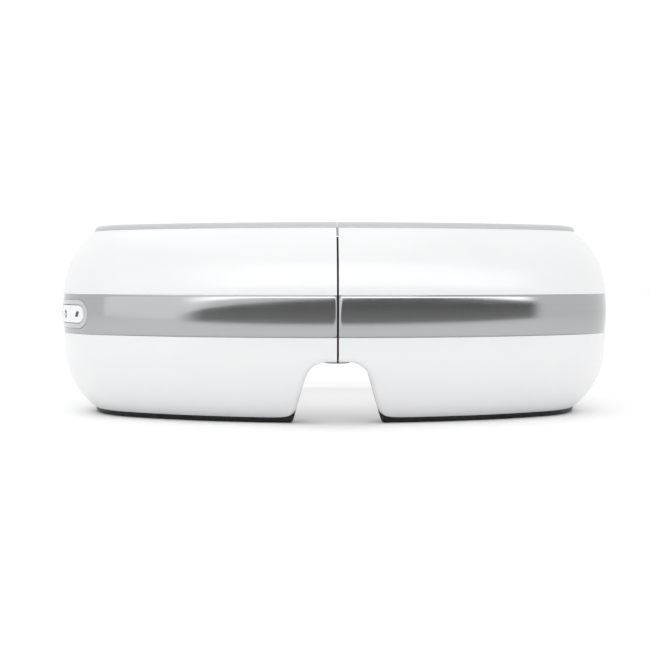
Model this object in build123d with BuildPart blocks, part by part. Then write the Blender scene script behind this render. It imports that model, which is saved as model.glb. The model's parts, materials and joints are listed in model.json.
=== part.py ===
"""Foldable eye massager mask: two shell halves on a centre hinge, with a headband behind.

Row frame, in millimetres: the mask stands on the floor at Z = 0, its front faces -Y and the wearer is at +Y.
+X is the wearer's left. Each half is modelled at +X and mirrored for the wearer's right.
"""

import os
from math import acos, asin, atan2, cos, degrees, hypot, radians, sin, sqrt

from build123d import *

# ---------------------------------------------------------------- driving sizes
HALF_WIDTH = 106.0  # centre plane to the outermost point of an arm
TURN = 30.8236  # degrees that each half of the front curve sweeps before the corner
R_CORNER = 44.0  # corner where the front turns into an arm, in plan
R_ROLL = 30.0  # roll of the shell from its upright front to its edge
PARTING = 12.0  # depth of the face where the white and black shells meet
SHELL_HALF = 34.0  # half height of the white shell
RIM_PROUD = 2.0  # how far the black rim stands out above and below the white shell
SEAM_HALF = 0.35  # half of the gap between the two white shells
REAR_SEAM_HALF = 0.1  # half of the gap between the two black shells, ahead of the hinge

SHELL_WALL = 2.2
ARCH_EDGE_R = 2.5  # rounding of the white shell along the nose arch
RIM_DEPTH = 6.0  # rear shell, from the parting face to its back
RIM_WALL = 3.6  # upper and lower walls of the rear shell, which the front shell's edge rests on
RIM_ROUND = 1.8
ARCH_WALL = 2.0
BACK_WALL = 1.8

ARCH_TOP = 22.5  # height of the nose arch above the floor
ARCH_HALF_TOP = 9.8
ARCH_HALF_FOOT = 16.1
ARCH_R = 8.0
SHELL_CORNER_R = 5.3  # white shell's lower corner beside the nose
RIM_CORNER_R = 2.0

BAND_HEIGHT = 14.8
BAND_RISE = 2.6  # band centre above the middle of the shell
BAND_DEPTH = 0.9
BAND_CROWN = 0.4

HINGE_DEPTH = 14.5  # hinge axis behind the front
BARREL_R = 4.6
HINGE_PIN_R = 1.5
PIN_CLEARANCE = 0.05
BARREL_CLEARANCE = 0.5
KNUCKLES = 5
KNUCKLE_GAP = 0.25
BARREL_DROP = 0.9  # barrel stands out below the arch
FOLD_HALF = 46.0  # degrees that each half turns about the hinge

PANEL_HEIGHT = 10.5
PANEL_START = 42.5  # degrees round the corner
PANEL_END = 88.6
BUTTON_HEIGHT = 7.0
BUTTON_GAP = 0.25
BUTTON_TRAVEL = 0.5
BUTTON_PROUD = 0.6
BUTTON_DEPTH = 3.4
BEZEL_LIP = 1.0

PAD_GAP = 0.2
PAD_BASE = 5.6
PAD_INSET = 1.2
EYE_RING_RISE = 5.0
EYE_ANGLE = 12.0  # degrees from the centre plane to the eye
EYE_RING_W = 42.0
EYE_RING_H = 40.0
EYE_HOLE_W = 27.0
EYE_HOLE_H = 25.0

STRAP_HEIGHT = 28.0
STRAP_T = 1.5
STRAP_PIN_R = 1.25
STRAP_LOOP_CLEARANCE = 0.25
ANCHOR_BACK = 5.5  # strap pin behind the end of the rim
LUG_R = 3.0
LUG_T = 3.0
LUG_GAP = 0.4
RING_BAR_R = 1.0
RING_SPAN = 9.0
TAB_LENGTH = 24.0  # folded-back end of the strap
TAB_T = 1.2

SCREW_STATIONS = [(8.5, 21.0), (8.5, -21.0), (25.0, 21.0), (25.0, -21.0), (80.0, 21.0), (80.0, -21.0)]
BOSS_R = 2.6
SCREW_HEAD_R = 1.9
SCREW_HEAD_H = 1.2
SCREW_SHANK_R = 0.8
SCREW_LENGTH = 8.5
SCREW_CLEARANCE = 0.05
HEAD_CLEARANCE = 0.2

LEAF_T = 1.8
LEAF_PLAY = 0.1
LEAF_PILOT = 6.0
LEAF_SCREW_LENGTH = 6.5
LEAF_LENGTH = 17.0
LEAF_LOW = 26.0  # heights above the floor
LEAF_HIGH = 64.0
BARREL_TOP = 66.6
LEAF_SCREW_X = 12.0
LEAF_SCREW_Z = (31.0, 45.0, 59.0)
LEAF_BOSS_R = 2.2
LEAF_SCREW_R = 0.7
LEAF_HEAD_R = 1.7
LEAF_HEAD_H = 1.0

BATTERY = (38.0, 32.0, 5.0)
BOARD = (40.0, 32.0, 1.0)
BOARD_ANGLE = 14.0
BATTERY_DEPTH = 7.1
BOARD_DEPTH = 8.6

MOTOR_ANGLE = 20.0
MOTOR_DEPTH = 13.3
MOTOR_R = 2.8
MOTOR_LENGTH = 12.0
MOTOR_LOW = -28.0  # heights from the middle of the shell, here and below
WEIGHT_R = 2.6
WEIGHT_LENGTH = 4.0
SHAFT_R = 0.5

PUMP_ANGLE = 30.0
PUMP_DEPTH = 9.6
PUMP_R = 5.8
PUMP_LOW = -17.0
PUMP_MOTOR_LENGTH = 18.0
PUMP_HEAD_LENGTH = 14.0
PUMP_BORE_R = 4.6
CAM_R = 2.4
CAM_OFFSET = 0.9
CAM_LENGTH = 4.0
NOZZLE_R = 0.8
TUBE_R = 1.2

VALVE_ANGLE = 60.5
VALVE = (8.0, 16.0, 6.5)
VALVE_DEPTH = 12.0

SPEAKER_ANGLE = 88.0
SPEAKER_R = 8.0
SPEAKER_T = 3.6
SPEAKER_DEPTH = 14.2
SPEAKER_CUP = 1.2
MESH_R = 6.3
MESH_T = 0.4
MESH_HOLE_R = 0.4

USB_ANGLE = 14.0
USB_DEPTH = 15.0
USB = (8.94, 3.16, 7.3)  # wide, thick, tall
USB_WALL = 0.3
USB_PLAY = 0.1

BAG_T = 2.4
BAG_HALF = 15.0
EYE_BAG = (6.0, 21.8)  # degrees
TEMPLE_BAG = (38.0, 69.0)
HEATER_T = 0.5
BAG_GAP = 0.2

# ---------------------------------------------------------------- worked out from them
FLAT_HALF = SHELL_HALF - sqrt(R_ROLL**2 - (R_ROLL - PARTING) ** 2)  # half height of the upright front
RIM_HALF = SHELL_HALF + RIM_PROUD
Z_MID = RIM_HALF
BACK = PARTING + RIM_DEPTH
R_FRONT = R_CORNER + (HALF_WIDTH - R_CORNER) / sin(radians(TURN))  # front curve, in plan
CORNER_X = HALF_WIDTH - R_CORNER
CORNER_DEPTH = R_FRONT - (R_FRONT - R_CORNER) * cos(radians(TURN))

ANCHOR_X = HALF_WIDTH - PARTING - RIM_DEPTH / 2
ANCHOR_DEPTH = CORNER_DEPTH + RIM_HALF - FLAT_HALF + ANCHOR_BACK
ARM = hypot(ANCHOR_X, ANCHOR_DEPTH - HINGE_DEPTH)  # hinge to strap pin, and strap pin to rear ring
RING_DEPTH = 2 * ANCHOR_DEPTH - HINGE_DEPTH
STRAP_CHORD = degrees(atan2(ANCHOR_DEPTH - HINGE_DEPTH, ANCHOR_X))
STRAP_R = ARM / (2 * sin(radians(STRAP_CHORD)))
REAR_PROUD = RING_BAR_R + STRAP_LOOP_CLEARANCE + STRAP_T
FRONT = -(RING_DEPTH + REAR_PROUD - BAND_CROWN) / 2  # Y of the front, so that the origin is at the box's middle

HINGE = (0, FRONT + HINGE_DEPTH)
LEAF_FRONT = PARTING - LEAF_T - LEAF_PLAY  # depth of the hinge leaf's front face
CORNER_Y = FRONT + CORNER_DEPTH
ANCHOR = (ANCHOR_X, FRONT + ANCHOR_DEPTH)
STRAP_CENTRE = (0, FRONT + RING_DEPTH - STRAP_R)

FRONT_PLANE = Plane(origin=(0, FRONT, Z_MID), x_dir=(0, 1, 0), z_dir=(1, 0, 0))
ARM_PLANE = Plane(origin=(HALF_WIDTH, CORNER_Y, Z_MID), x_dir=(-1, 0, 0), z_dir=(0, 1, 0))
FRONT_AXIS = Axis((0, FRONT + R_FRONT, 0), (0, 0, 1))
CORNER_AXIS = Axis((CORNER_X, CORNER_Y, 0), (0, 0, -1))

BIG = 300.0

os.makedirs("parts", exist_ok=True)


# ---------------------------------------------------------------- shared shapes
def write(part, name):
    """Labels a finished piece and writes it as its own STEP file."""
    part.label = name
    export_step(part, f"parts/{name}.step")


def write_right(part, name):
    """Writes the mirror image of a piece that was modelled at +X."""
    with BuildPart() as right:
        mirror(part, about=Plane.YZ)
    write(right.part, name)


def write_pair(part, name):
    """Writes a piece of the left half and its mirror image for the right half."""
    write(part, f"{name}_left")
    write_right(part, f"{name}_right")


def roll_edge(inset, end):
    """Upper edge of a rolled section: x is depth, y is height above the flat. inset is how far inside the skin it lies."""
    radius = R_ROLL - inset
    sweep = degrees(acos((R_ROLL - end) / radius))
    with BuildSketch() as edge:
        with BuildLine():
            arc = CenterArc((R_ROLL, 0), radius, 180, -sweep)
            Polyline(arc @ 1, (end, 0), (inset, 0))
        make_face()
    return edge.sketch


def block_edge(near, far, height, rounding=0.0):
    """Upper edge of a plain section from depth near to depth far, its two top corners rounded."""
    with BuildSketch() as edge:
        Rectangle(far - near, height, align=(Align.MIN, Align.MIN))
        if rounding:
            fillet(edge.vertices().group_by(Axis.Y)[-1], radius=rounding)
    return Pos(near, 0) * edge.sketch


def whole_section(edge, near, far):
    """A full section: the edge above and below, and the flat between them."""
    with BuildSketch() as section:
        with Locations((0, FLAT_HALF)):
            add(edge)
        mirror(about=Plane.XZ)
        with Locations(((near + far) / 2, 0)):
            Rectangle(far - near, 2 * FLAT_HALF)
    return section.sketch


def visor(edge, near, far):
    """One half of the visor: a section carried round the front and the corner, and turned over the arm's end."""
    section = whole_section(edge, near, far)
    with BuildPart() as half:
        with BuildSketch(FRONT_PLANE):
            add(section)
        revolve(axis=FRONT_AXIS, revolution_arc=TURN)
        with BuildSketch(ARM_PLANE):
            add(section)
        revolve(axis=CORNER_AXIS, revolution_arc=90 - TURN)
        with BuildSketch(ARM_PLANE):
            with Locations((0, FLAT_HALF)):
                add(edge)
        revolve(axis=Axis((0, CORNER_Y, Z_MID + FLAT_HALF), (-1, 0, 0)), revolution_arc=90)
        with BuildSketch(ARM_PLANE) as lower:
            with Locations((0, FLAT_HALF)):
                add(edge)
            mirror(about=Plane.XZ, mode=Mode.REPLACE)
        revolve(axis=Axis((0, CORNER_Y, Z_MID - FLAT_HALF), (1, 0, 0)), revolution_arc=90)
        level = Plane(origin=(HALF_WIDTH, CORNER_Y, Z_MID - FLAT_HALF), x_dir=(-1, 0, 0), z_dir=(0, 0, -1))
        with BuildSketch(level):
            add(edge)
        extrude(amount=-2 * FLAT_HALF)
    return half.part


def outline(foot, corner_r, inset=0.0, seam=SEAM_HALF):
    """Front view of one half, carried right through: the nose arch, the lower corner and the seam, shrunk by inset."""
    slope = (ARCH_HALF_FOOT - ARCH_HALF_TOP) / ARCH_TOP
    arch_corner = (ARCH_HALF_FOOT - slope * ARCH_TOP, ARCH_TOP)
    low_corner = (ARCH_HALF_FOOT - slope * foot, foot)
    with BuildPart() as prism:
        with BuildSketch(Plane.XZ) as front:
            with BuildLine():
                Polyline((seam, BIG), (seam, ARCH_TOP), arch_corner, low_corner, (BIG, foot), (BIG, BIG), close=True)
            make_face()
            corners = front.vertices()
            fillet(corners.sort_by_distance((*arch_corner, 0))[0], radius=ARCH_R)
            corners = front.vertices()
            fillet(corners.sort_by_distance((*low_corner, 0))[0], radius=corner_r)
            if inset:
                offset(amount=-inset)
        extrude(amount=BIG, both=True)
    return prism.part


def station(angle, depth, rise=0.0):
    """Plane on the path: x along it towards the arm, y up, z outwards. rise is from the middle of the shell."""
    centre, radius = arc_of(angle)
    out = Vector(sin(radians(angle)), -cos(radians(angle)), 0)
    along = Vector(cos(radians(angle)), sin(radians(angle)), 0)
    origin = Vector(*centre, Z_MID + rise) + out * (radius - depth)
    return Plane(origin=origin, x_dir=along, z_dir=out)


def arc_of(angle):
    """Centre and radius of the plan curve's arc at an angle from straight ahead."""
    if angle < TURN:
        return (0, FRONT + R_FRONT), R_FRONT
    return (CORNER_X, CORNER_Y), R_CORNER


def arc_block(near, far, low, high, start, end):
    """A block bent along the path: depths near to far, heights low to high from the middle, angles start to end."""
    centre, radius = arc_of(start)
    out = Vector(sin(radians(start)), -cos(radians(start)), 0)
    plane = Plane(origin=(*centre, Z_MID), x_dir=out, z_dir=out.cross(Vector(0, 0, 1)))
    with BuildPart() as block:
        with BuildSketch(plane):
            with Locations((radius - (near + far) / 2, (low + high) / 2)):
                Rectangle(far - near, high - low)
        revolve(axis=Axis((*centre, 0), (0, 0, 1)), revolution_arc=end - start)
    return block.part


def strip(section, end):
    """A section in depth and height carried along the whole of one half, and end degrees round the arm's end."""
    with BuildPart() as ribbon:
        with BuildSketch(FRONT_PLANE):
            add(section)
        revolve(axis=FRONT_AXIS, revolution_arc=TURN)
        with BuildSketch(ARM_PLANE):
            add(section)
        revolve(axis=CORNER_AXIS, revolution_arc=90 - TURN)
        with BuildSketch(ARM_PLANE):
            add(section)
        revolve(axis=Axis((HALF_WIDTH - R_ROLL, CORNER_Y, 0), (0, 0, 1)), revolution_arc=end)
    return ribbon.part


def fold_wedge():
    """The space behind the hinge that each half leaves free, so that the halves can fold towards each other."""
    angle = radians(FOLD_HALF + 0.5)
    start = HINGE[1] - SEAM_HALF / sin(angle)
    with BuildPart() as wedge:
        with BuildSketch(Plane.XY):
            with BuildLine():
                Polyline((0, start), (BIG * sin(angle), start + BIG * cos(angle)), (-BIG, BIG), (-BIG, start), close=True)
            make_face()
        extrude(amount=BIG, both=True)
    return wedge.part


def barrel_room():
    """The round space that the hinge barrel turns in, up to just above the barrel."""
    with BuildPart() as room:
        with BuildSketch(Plane.XY.offset(BARREL_TOP + BARREL_CLEARANCE)):
            with Locations(HINGE):
                Circle(BARREL_R + BARREL_CLEARANCE)
        extrude(amount=-BIG)
    return room.part


def round_bar(place, radius, near, far):
    """A cylinder on a station's outward axis, from depth near to depth far; place is (angle, rise)."""
    with BuildPart() as bar:
        with BuildSketch(station(place[0], far, place[1])):
            Circle(radius)
        extrude(amount=far - near)
    return bar.part


def upright(centre, radius, low, high):
    """A vertical cylinder between two heights above the floor."""
    with BuildPart() as post:
        with BuildSketch(Plane.XY.offset(low)):
            with Locations(centre):
                Circle(radius)
        extrude(amount=high - low)
    return post.part


def xy_of(angle, depth):
    """Plan position of a point on a station's axis."""
    origin = station(angle, depth).origin
    return (origin.X, origin.Y)


# ---------------------------------------------------------------- the control panel's shapes, on the corner of one arm
PANEL_MID = (PANEL_START + PANEL_END) / 2
PANEL_LENGTH = 2 * R_CORNER * sin(radians((PANEL_END - PANEL_START) / 2))
BEZEL_DEPTH = 1.35
BEZEL_PROUD = 0.35
PANEL_FIT = 0.05


def panel_prism(inset):
    """The panel's rounded outline, shrunk by inset and carried inwards through the corner."""
    with BuildPart() as prism:
        with BuildSketch(station(PANEL_MID, -R_ROLL, BAND_RISE)):
            SlotOverall(PANEL_LENGTH - 2 * inset, PANEL_HEIGHT - 2 * inset)
        extrude(amount=-2 * R_ROLL)
    return prism.part


# ---------------------------------------------------------------- white front shells
BUTTON_RIM = (PANEL_HEIGHT - BUTTON_HEIGHT) / 2
BUTTON_REACH = degrees(asin((PANEL_LENGTH / 2 - BUTTON_RIM - BUTTON_GAP) / R_CORNER))
BUTTON_STEP = 2 * BUTTON_REACH / 3
FLANGE_NEAR = BEZEL_DEPTH + 0.1
FLANGE_FAR = FLANGE_NEAR + 0.85
KEY_BOARD_NEAR = BUTTON_DEPTH + BUTTON_TRAVEL + 0.05 + 2.0
KEY_BOARD_T = 0.5
KEY_PEGS = [(PANEL_START + 7, 7.5), (PANEL_START + 7, -7.5), (PANEL_END - 6, 7.5), (PANEL_END - 6, -7.5)]
BOARD_PEGS = [(17.0, 13.0), (17.0, -13.0), (-17.0, 13.0), (-17.0, -13.0)]


def front_shell(with_panel):
    with BuildPart() as shell:
        add(visor(roll_edge(0, PARTING), 0, PARTING))
        add(outline(RIM_PROUD, SHELL_CORNER_R), mode=Mode.INTERSECT)
        arch_edges = (
            shell.edges()
            .filter_by(GeomType.LINE, reverse=True)
            .filter_by(lambda e: SEAM_HALF < e.center().X < ARCH_HALF_FOOT)
            .filter_by(lambda e: e.center().Y < FRONT + PARTING / 2 and e.center().Z < ARCH_TOP + 1)
        )
        fillet(arch_edges, radius=ARCH_EDGE_R)
        with BuildPart(mode=Mode.PRIVATE) as hollow:
            add(visor(roll_edge(SHELL_WALL, PARTING + 1), SHELL_WALL, PARTING + 1))
            add(outline(RIM_PROUD, SHELL_CORNER_R, SHELL_WALL), mode=Mode.INTERSECT)
        add(hollow.part, mode=Mode.SUBTRACT)
        for angle, rise in SCREW_STATIONS:
            add(round_bar((angle, rise), BOSS_R, SHELL_WALL / 2, PARTING))
        for height in LEAF_SCREW_Z:
            with BuildSketch(Plane.XZ.offset(-(FRONT + LEAF_FRONT))):
                with Locations((LEAF_SCREW_X, height)):
                    Circle(LEAF_BOSS_R)
            extrude(amount=LEAF_FRONT - SHELL_WALL / 2)
        if with_panel:
            near_face = BOARD_DEPTH - BOARD[2] / 2
            with BuildSketch(station(BOARD_ANGLE, near_face)):
                with Locations(BOARD_PEGS):
                    Circle(1.6)
            extrude(amount=near_face - SHELL_WALL / 2)
            with BuildSketch(station(BOARD_ANGLE, near_face + BOARD[2] + 0.6)):
                with Locations(BOARD_PEGS):
                    Circle(0.8)
            extrude(amount=BOARD[2] + 1)
            for angle, rise in KEY_PEGS:
                add(round_bar((angle, rise + BAND_RISE), 1.2, SHELL_WALL / 2, KEY_BOARD_NEAR - 0.05))
                add(round_bar((angle, rise + BAND_RISE), 0.6, SHELL_WALL, KEY_BOARD_NEAR + KEY_BOARD_T + 0.5))
        else:
            with BuildSketch(station(BOARD_ANGLE, BATTERY_DEPTH - BATTERY[2] / 2)):
                with Locations((12, 0), (-12, 0)):
                    Rectangle(1.6, 26)
            extrude(amount=BATTERY_DEPTH - BATTERY[2] / 2 - SHELL_WALL / 2)
        add(visor(roll_edge(0, PARTING), 0, PARTING), mode=Mode.INTERSECT)
        for angle, rise in SCREW_STATIONS:
            pilot = round_bar((angle, rise), SCREW_SHANK_R + SCREW_CLEARANCE, PARTING - SCREW_LENGTH / 2 - 2, PARTING + 1)
            add(pilot, mode=Mode.SUBTRACT)
        for height in LEAF_SCREW_Z:
            with BuildSketch(Plane.XZ.offset(-(FRONT + LEAF_FRONT))):
                with Locations((LEAF_SCREW_X, height)):
                    Circle(LEAF_SCREW_R + SCREW_CLEARANCE)
            extrude(amount=LEAF_PILOT, mode=Mode.SUBTRACT)
        add(barrel_room(), mode=Mode.SUBTRACT)
        with BuildSketch(mode=Mode.PRIVATE) as groove:
            with Locations(((BAND_DEPTH - 1) / 2, BAND_RISE)):
                Rectangle(BAND_DEPTH + 1, BAND_HEIGHT + 2 * PANEL_FIT)
        add(strip(groove.sketch, 90), mode=Mode.SUBTRACT)
        if with_panel:
            seat = arc_block(-1, BEZEL_DEPTH, -PANEL_HEIGHT, PANEL_HEIGHT, PANEL_START - 5, 90)
            with BuildPart(mode=Mode.PRIVATE) as recess:
                add(seat)
                add(panel_prism(-PANEL_FIT), mode=Mode.INTERSECT)
            add(recess.part, mode=Mode.SUBTRACT)
            window = arc_block(-1, PARTING / 2, -PANEL_HEIGHT, PANEL_HEIGHT, PANEL_START - 5, 90)
            with BuildPart(mode=Mode.PRIVATE) as opening:
                add(window)
                add(panel_prism(BEZEL_LIP), mode=Mode.INTERSECT)
            add(opening.part, mode=Mode.SUBTRACT)
    return shell.part


write(front_shell(False), "front_shell_left")
write_right(front_shell(True), "front_shell_right")


# ---------------------------------------------------------------- plated bands and the control panel
def trim_band(with_panel):
    low = BAND_RISE - BAND_HEIGHT / 2
    high = BAND_RISE + BAND_HEIGHT / 2
    with BuildSketch() as section:
        with BuildLine():
            crown = ThreePointArc((0, low), (-BAND_CROWN, BAND_RISE), (0, high))
            Polyline(crown @ 1, (BAND_DEPTH - 0.05, high), (BAND_DEPTH - 0.05, low), crown @ 0)
        make_face()
    reach = degrees(acos((R_ROLL - PARTING) / R_ROLL))
    with BuildPart() as band:
        add(strip(section.sketch, reach))
        with Locations((SEAM_HALF, 0, 0)):
            Box(BIG, BIG, BIG, align=(Align.MAX, Align.CENTER, Align.CENTER), mode=Mode.SUBTRACT)
        with Locations((HALF_WIDTH - PARTING, CORNER_Y, 0)):
            Box(BIG, BIG, BIG, align=(Align.MAX, Align.MIN, Align.CENTER), mode=Mode.SUBTRACT)
        if with_panel:
            with BuildPart(mode=Mode.PRIVATE) as window:
                add(arc_block(-2, 2, -PANEL_HEIGHT, PANEL_HEIGHT, PANEL_START - 5, 90))
                add(panel_prism(-PANEL_FIT), mode=Mode.INTERSECT)
            add(window.part, mode=Mode.SUBTRACT)
    return band.part


write(trim_band(False), "trim_band_left")
write_right(trim_band(True), "trim_band_right")

with BuildPart() as panel_bezel:
    add(arc_block(-BEZEL_PROUD, BEZEL_DEPTH, -PANEL_HEIGHT, PANEL_HEIGHT, PANEL_START - 5, 90))
    add(panel_prism(0), mode=Mode.INTERSECT)
    add(panel_prism(BUTTON_RIM), mode=Mode.SUBTRACT)
write_right(panel_bezel.part, "panel_bezel")


def button_angle(place):
    """Middle of a button: place is -1, 0 or 1."""
    return PANEL_MID + place * BUTTON_STEP


def push_button(place):
    middle = button_angle(place)
    half = BUTTON_STEP / 2 - degrees(BUTTON_GAP / 2 / R_CORNER)
    with BuildPart() as button:
        add(arc_block(-BUTTON_PROUD, FLANGE_NEAR, -BUTTON_HEIGHT, BUTTON_HEIGHT, middle - half, middle + half))
        add(panel_prism(BUTTON_RIM + BUTTON_GAP), mode=Mode.INTERSECT)
        with BuildPart(mode=Mode.PRIVATE) as flange:
            add(arc_block(FLANGE_NEAR, FLANGE_FAR, -BUTTON_HEIGHT, BUTTON_HEIGHT, middle - half, middle + half))
            add(panel_prism(BEZEL_LIP + BUTTON_GAP), mode=Mode.INTERSECT)
        add(flange.part)
        add(round_bar((middle, BAND_RISE), 1.2, FLANGE_NEAR, BUTTON_DEPTH))
    return button.part


for place, name in ((-1, "mode_button"), (0, "power_button"), (1, "sound_button")):
    write_right(push_button(place), name)

with BuildPart() as key_board:
    add(
        arc_block(
            KEY_BOARD_NEAR, KEY_BOARD_NEAR + KEY_BOARD_T, BAND_RISE - 9.5, BAND_RISE + 9.5, PANEL_START + 4, PANEL_END - 3
        )
    )
    for angle, rise in KEY_PEGS:
        add(round_bar((angle, rise + BAND_RISE), 0.65, KEY_BOARD_NEAR - 1, KEY_BOARD_NEAR + 2), mode=Mode.SUBTRACT)
write_right(key_board.part, "key_board")

with BuildPart() as tact_switches:
    for place in (-1, 0, 1):
        with BuildSketch(station(button_angle(place), KEY_BOARD_NEAR - 0.1, BAND_RISE)):
            Rectangle(5, 5)
        extrude(amount=1.4)
        add(round_bar((button_angle(place), BAND_RISE), 1.4, BUTTON_DEPTH + BUTTON_TRAVEL + 0.05, KEY_BOARD_NEAR - 0.5))
write_right(tact_switches.part, "tact_switches")


# ---------------------------------------------------------------- black rear shells
def rear_shell(with_socket):
    inner = BACK - BACK_WALL
    with BuildPart() as shell:
        add(visor(block_edge(PARTING, BACK, RIM_HALF - FLAT_HALF, RIM_ROUND), PARTING, BACK))
        with BuildPart(mode=Mode.PRIVATE) as hollow:
            add(visor(block_edge(PARTING - 1, inner, RIM_HALF - FLAT_HALF - RIM_WALL), PARTING - 1, inner))
            add(outline(0, RIM_CORNER_R, ARCH_WALL), mode=Mode.INTERSECT)
            add(upright(HINGE, BARREL_R + BARREL_CLEARANCE + 1.5, -BIG, BIG), mode=Mode.SUBTRACT)
        add(hollow.part, mode=Mode.SUBTRACT)
        for angle, rise in SCREW_STATIONS:
            add(round_bar((angle, rise), BOSS_R, PARTING, inner + 0.5))
        # cradles for the vibration motor and the air pump, and the speaker's cup
        with BuildSketch(station(MOTOR_ANGLE, inner + 0.5, MOTOR_LOW + MOTOR_LENGTH / 2)):
            Rectangle(2 * MOTOR_R + 2.4, 8)
        extrude(amount=inner + 0.5 - MOTOR_DEPTH)
        with BuildSketch(station(PUMP_ANGLE, inner + 0.8, PUMP_LOW + PUMP_MOTOR_LENGTH / 2)):
            Rectangle(2 * PUMP_R, 7)
        extrude(amount=inner + 0.8 - PARTING)
        add(round_bar((SPEAKER_ANGLE, 0), SPEAKER_R + SPEAKER_CUP, SPEAKER_DEPTH - SPEAKER_T / 2, inner + 0.6))
        # lugs for the strap pin
        for end in (-1, 1):
            near = STRAP_HEIGHT / 2 + LUG_GAP
            with BuildSketch(Plane.XY.offset(Z_MID + end * near)):
                with Locations(ANCHOR):
                    Circle(LUG_R)
                with Locations((ANCHOR_X, CORNER_Y + (RIM_HALF - FLAT_HALF) / 2 + 8)):
                    Rectangle(2 * LUG_R, ANCHOR[1] - CORNER_Y - (RIM_HALF - FLAT_HALF) / 2 - 8, align=(Align.CENTER, Align.MIN))
            extrude(amount=end * LUG_T)
        if with_socket:
            with BuildSketch(Plane.XY.offset(RIM_WALL / 2)):
                with Locations(xy_of(USB_ANGLE, USB_DEPTH)):
                    Rectangle(USB[0] + 2.4, BACK - PARTING - 2.6, rotation=USB_ANGLE)
            extrude(amount=USB[2] - RIM_WALL / 2 + 0.5)
        add(outline(0, RIM_CORNER_R, seam=REAR_SEAM_HALF), mode=Mode.INTERSECT)
        for angle, rise in SCREW_STATIONS:
            add(round_bar((angle, rise), SCREW_SHANK_R + SCREW_CLEARANCE, PARTING - 1, BACK + 1), mode=Mode.SUBTRACT)
            head = SCREW_HEAD_R + HEAD_CLEARANCE
            add(round_bar((angle, rise), head, BACK - SCREW_HEAD_H - 0.15, BACK + 1), mode=Mode.SUBTRACT)
        low = Z_MID + MOTOR_LOW
        add(upright(xy_of(MOTOR_ANGLE, MOTOR_DEPTH), MOTOR_R + PIN_CLEARANCE, low - 5, low + 30), mode=Mode.SUBTRACT)
        low = Z_MID + PUMP_LOW
        add(upright(xy_of(PUMP_ANGLE, PUMP_DEPTH), PUMP_R + PIN_CLEARANCE, low - 2, low + PUMP_MOTOR_LENGTH), mode=Mode.SUBTRACT)
        cup = round_bar((SPEAKER_ANGLE, 0), SPEAKER_R + PIN_CLEARANCE, 5, SPEAKER_DEPTH + SPEAKER_T / 2)
        add(cup, mode=Mode.SUBTRACT)
        add(round_bar((SPEAKER_ANGLE, 0), MESH_R - 0.8, 10, BACK + 2), mode=Mode.SUBTRACT)
        add(round_bar((SPEAKER_ANGLE, 0), MESH_R + PIN_CLEARANCE, BACK - MESH_T - 0.1, BACK + 2), mode=Mode.SUBTRACT)
        for angle, rise in BAG_STUBS:
            add(round_bar((angle, rise), NOZZLE_R + 0.2, PARTING, BACK + 1), mode=Mode.SUBTRACT)
        add(upright(ANCHOR, STRAP_PIN_R + 0.02, 0, BIG), mode=Mode.SUBTRACT)
        add(barrel_room(), mode=Mode.SUBTRACT)
        add(fold_wedge(), mode=Mode.SUBTRACT)
        if with_socket:
            with BuildSketch(Plane.XY.offset(-1)):
                with Locations(xy_of(USB_ANGLE, USB_DEPTH)):
                    SlotOverall(USB[0] + USB_PLAY, USB[1] + USB_PLAY, rotation=USB_ANGLE)
            extrude(amount=1 + USB_WALL + USB[2] + USB_PLAY, mode=Mode.SUBTRACT)
    return shell.part


BAG_STUBS = [(19.0, 12.0), (VALVE_ANGLE, 0.0)]
write(rear_shell(False), "rear_shell_left")
write_right(rear_shell(True), "rear_shell_right")

with BuildPart() as usb_socket:
    with BuildSketch(Plane.XY.offset(USB_WALL)) as mouth:
        with Locations(xy_of(USB_ANGLE, USB_DEPTH)):
            SlotOverall(USB[0], USB[1], rotation=USB_ANGLE)
    extrude(amount=USB[2])
    with BuildSketch(Plane.XY.offset(USB_WALL)):
        with Locations(xy_of(USB_ANGLE, USB_DEPTH)):
            SlotOverall(USB[0] - 2 * USB_WALL, USB[1] - 2 * USB_WALL, rotation=USB_ANGLE)
    extrude(amount=USB[2] - 1, mode=Mode.SUBTRACT)
    with BuildSketch(Plane.XY.offset(USB_WALL + 0.8)):
        with Locations(xy_of(USB_ANGLE, USB_DEPTH)):
            Rectangle(USB[0] - 2.3, 0.7, rotation=USB_ANGLE)
    extrude(amount=USB[2] - 1)
write_right(usb_socket.part, "usb_socket")


# ---------------------------------------------------------------- centre hinge
def knuckles(which):
    """Numbers of the barrel's knuckles, from the bottom, that belong to one leaf."""
    return [k for k in range(KNUCKLES) if k % 2 == which]


def hinge_leaf(which):
    bottom = ARCH_TOP - BARREL_DROP
    pitch = (BARREL_TOP - bottom) / KNUCKLES
    front = Plane.XZ.offset(-(FRONT + LEAF_FRONT + LEAF_T))
    with BuildPart() as leaf:
        for k in knuckles(which):
            low = bottom + k * pitch + (KNUCKLE_GAP / 2 if k else 0)
            high = bottom + (k + 1) * pitch - (KNUCKLE_GAP / 2 if k < KNUCKLES - 1 else 0)
            add(upright(HINGE, BARREL_R, low, high))
            with BuildSketch(front):
                with Locations((BARREL_R / 2, max(low, LEAF_LOW))):
                    Rectangle(BARREL_R, min(high, LEAF_HIGH) - max(low, LEAF_LOW), align=(Align.MIN, Align.MIN))
            extrude(amount=LEAF_T)
        with BuildSketch(front):
            with Locations((BARREL_R + BARREL_CLEARANCE, LEAF_LOW)):
                Rectangle(LEAF_LENGTH - BARREL_R - BARREL_CLEARANCE, LEAF_HIGH - LEAF_LOW, align=(Align.MIN, Align.MIN))
            with Locations([(LEAF_SCREW_X, height) for height in LEAF_SCREW_Z]):
                Circle(LEAF_SCREW_R + SCREW_CLEARANCE, mode=Mode.SUBTRACT)
        extrude(amount=LEAF_T)
        add(upright(HINGE, HINGE_PIN_R + PIN_CLEARANCE, 0, BIG), mode=Mode.SUBTRACT)
    return leaf.part


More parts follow.
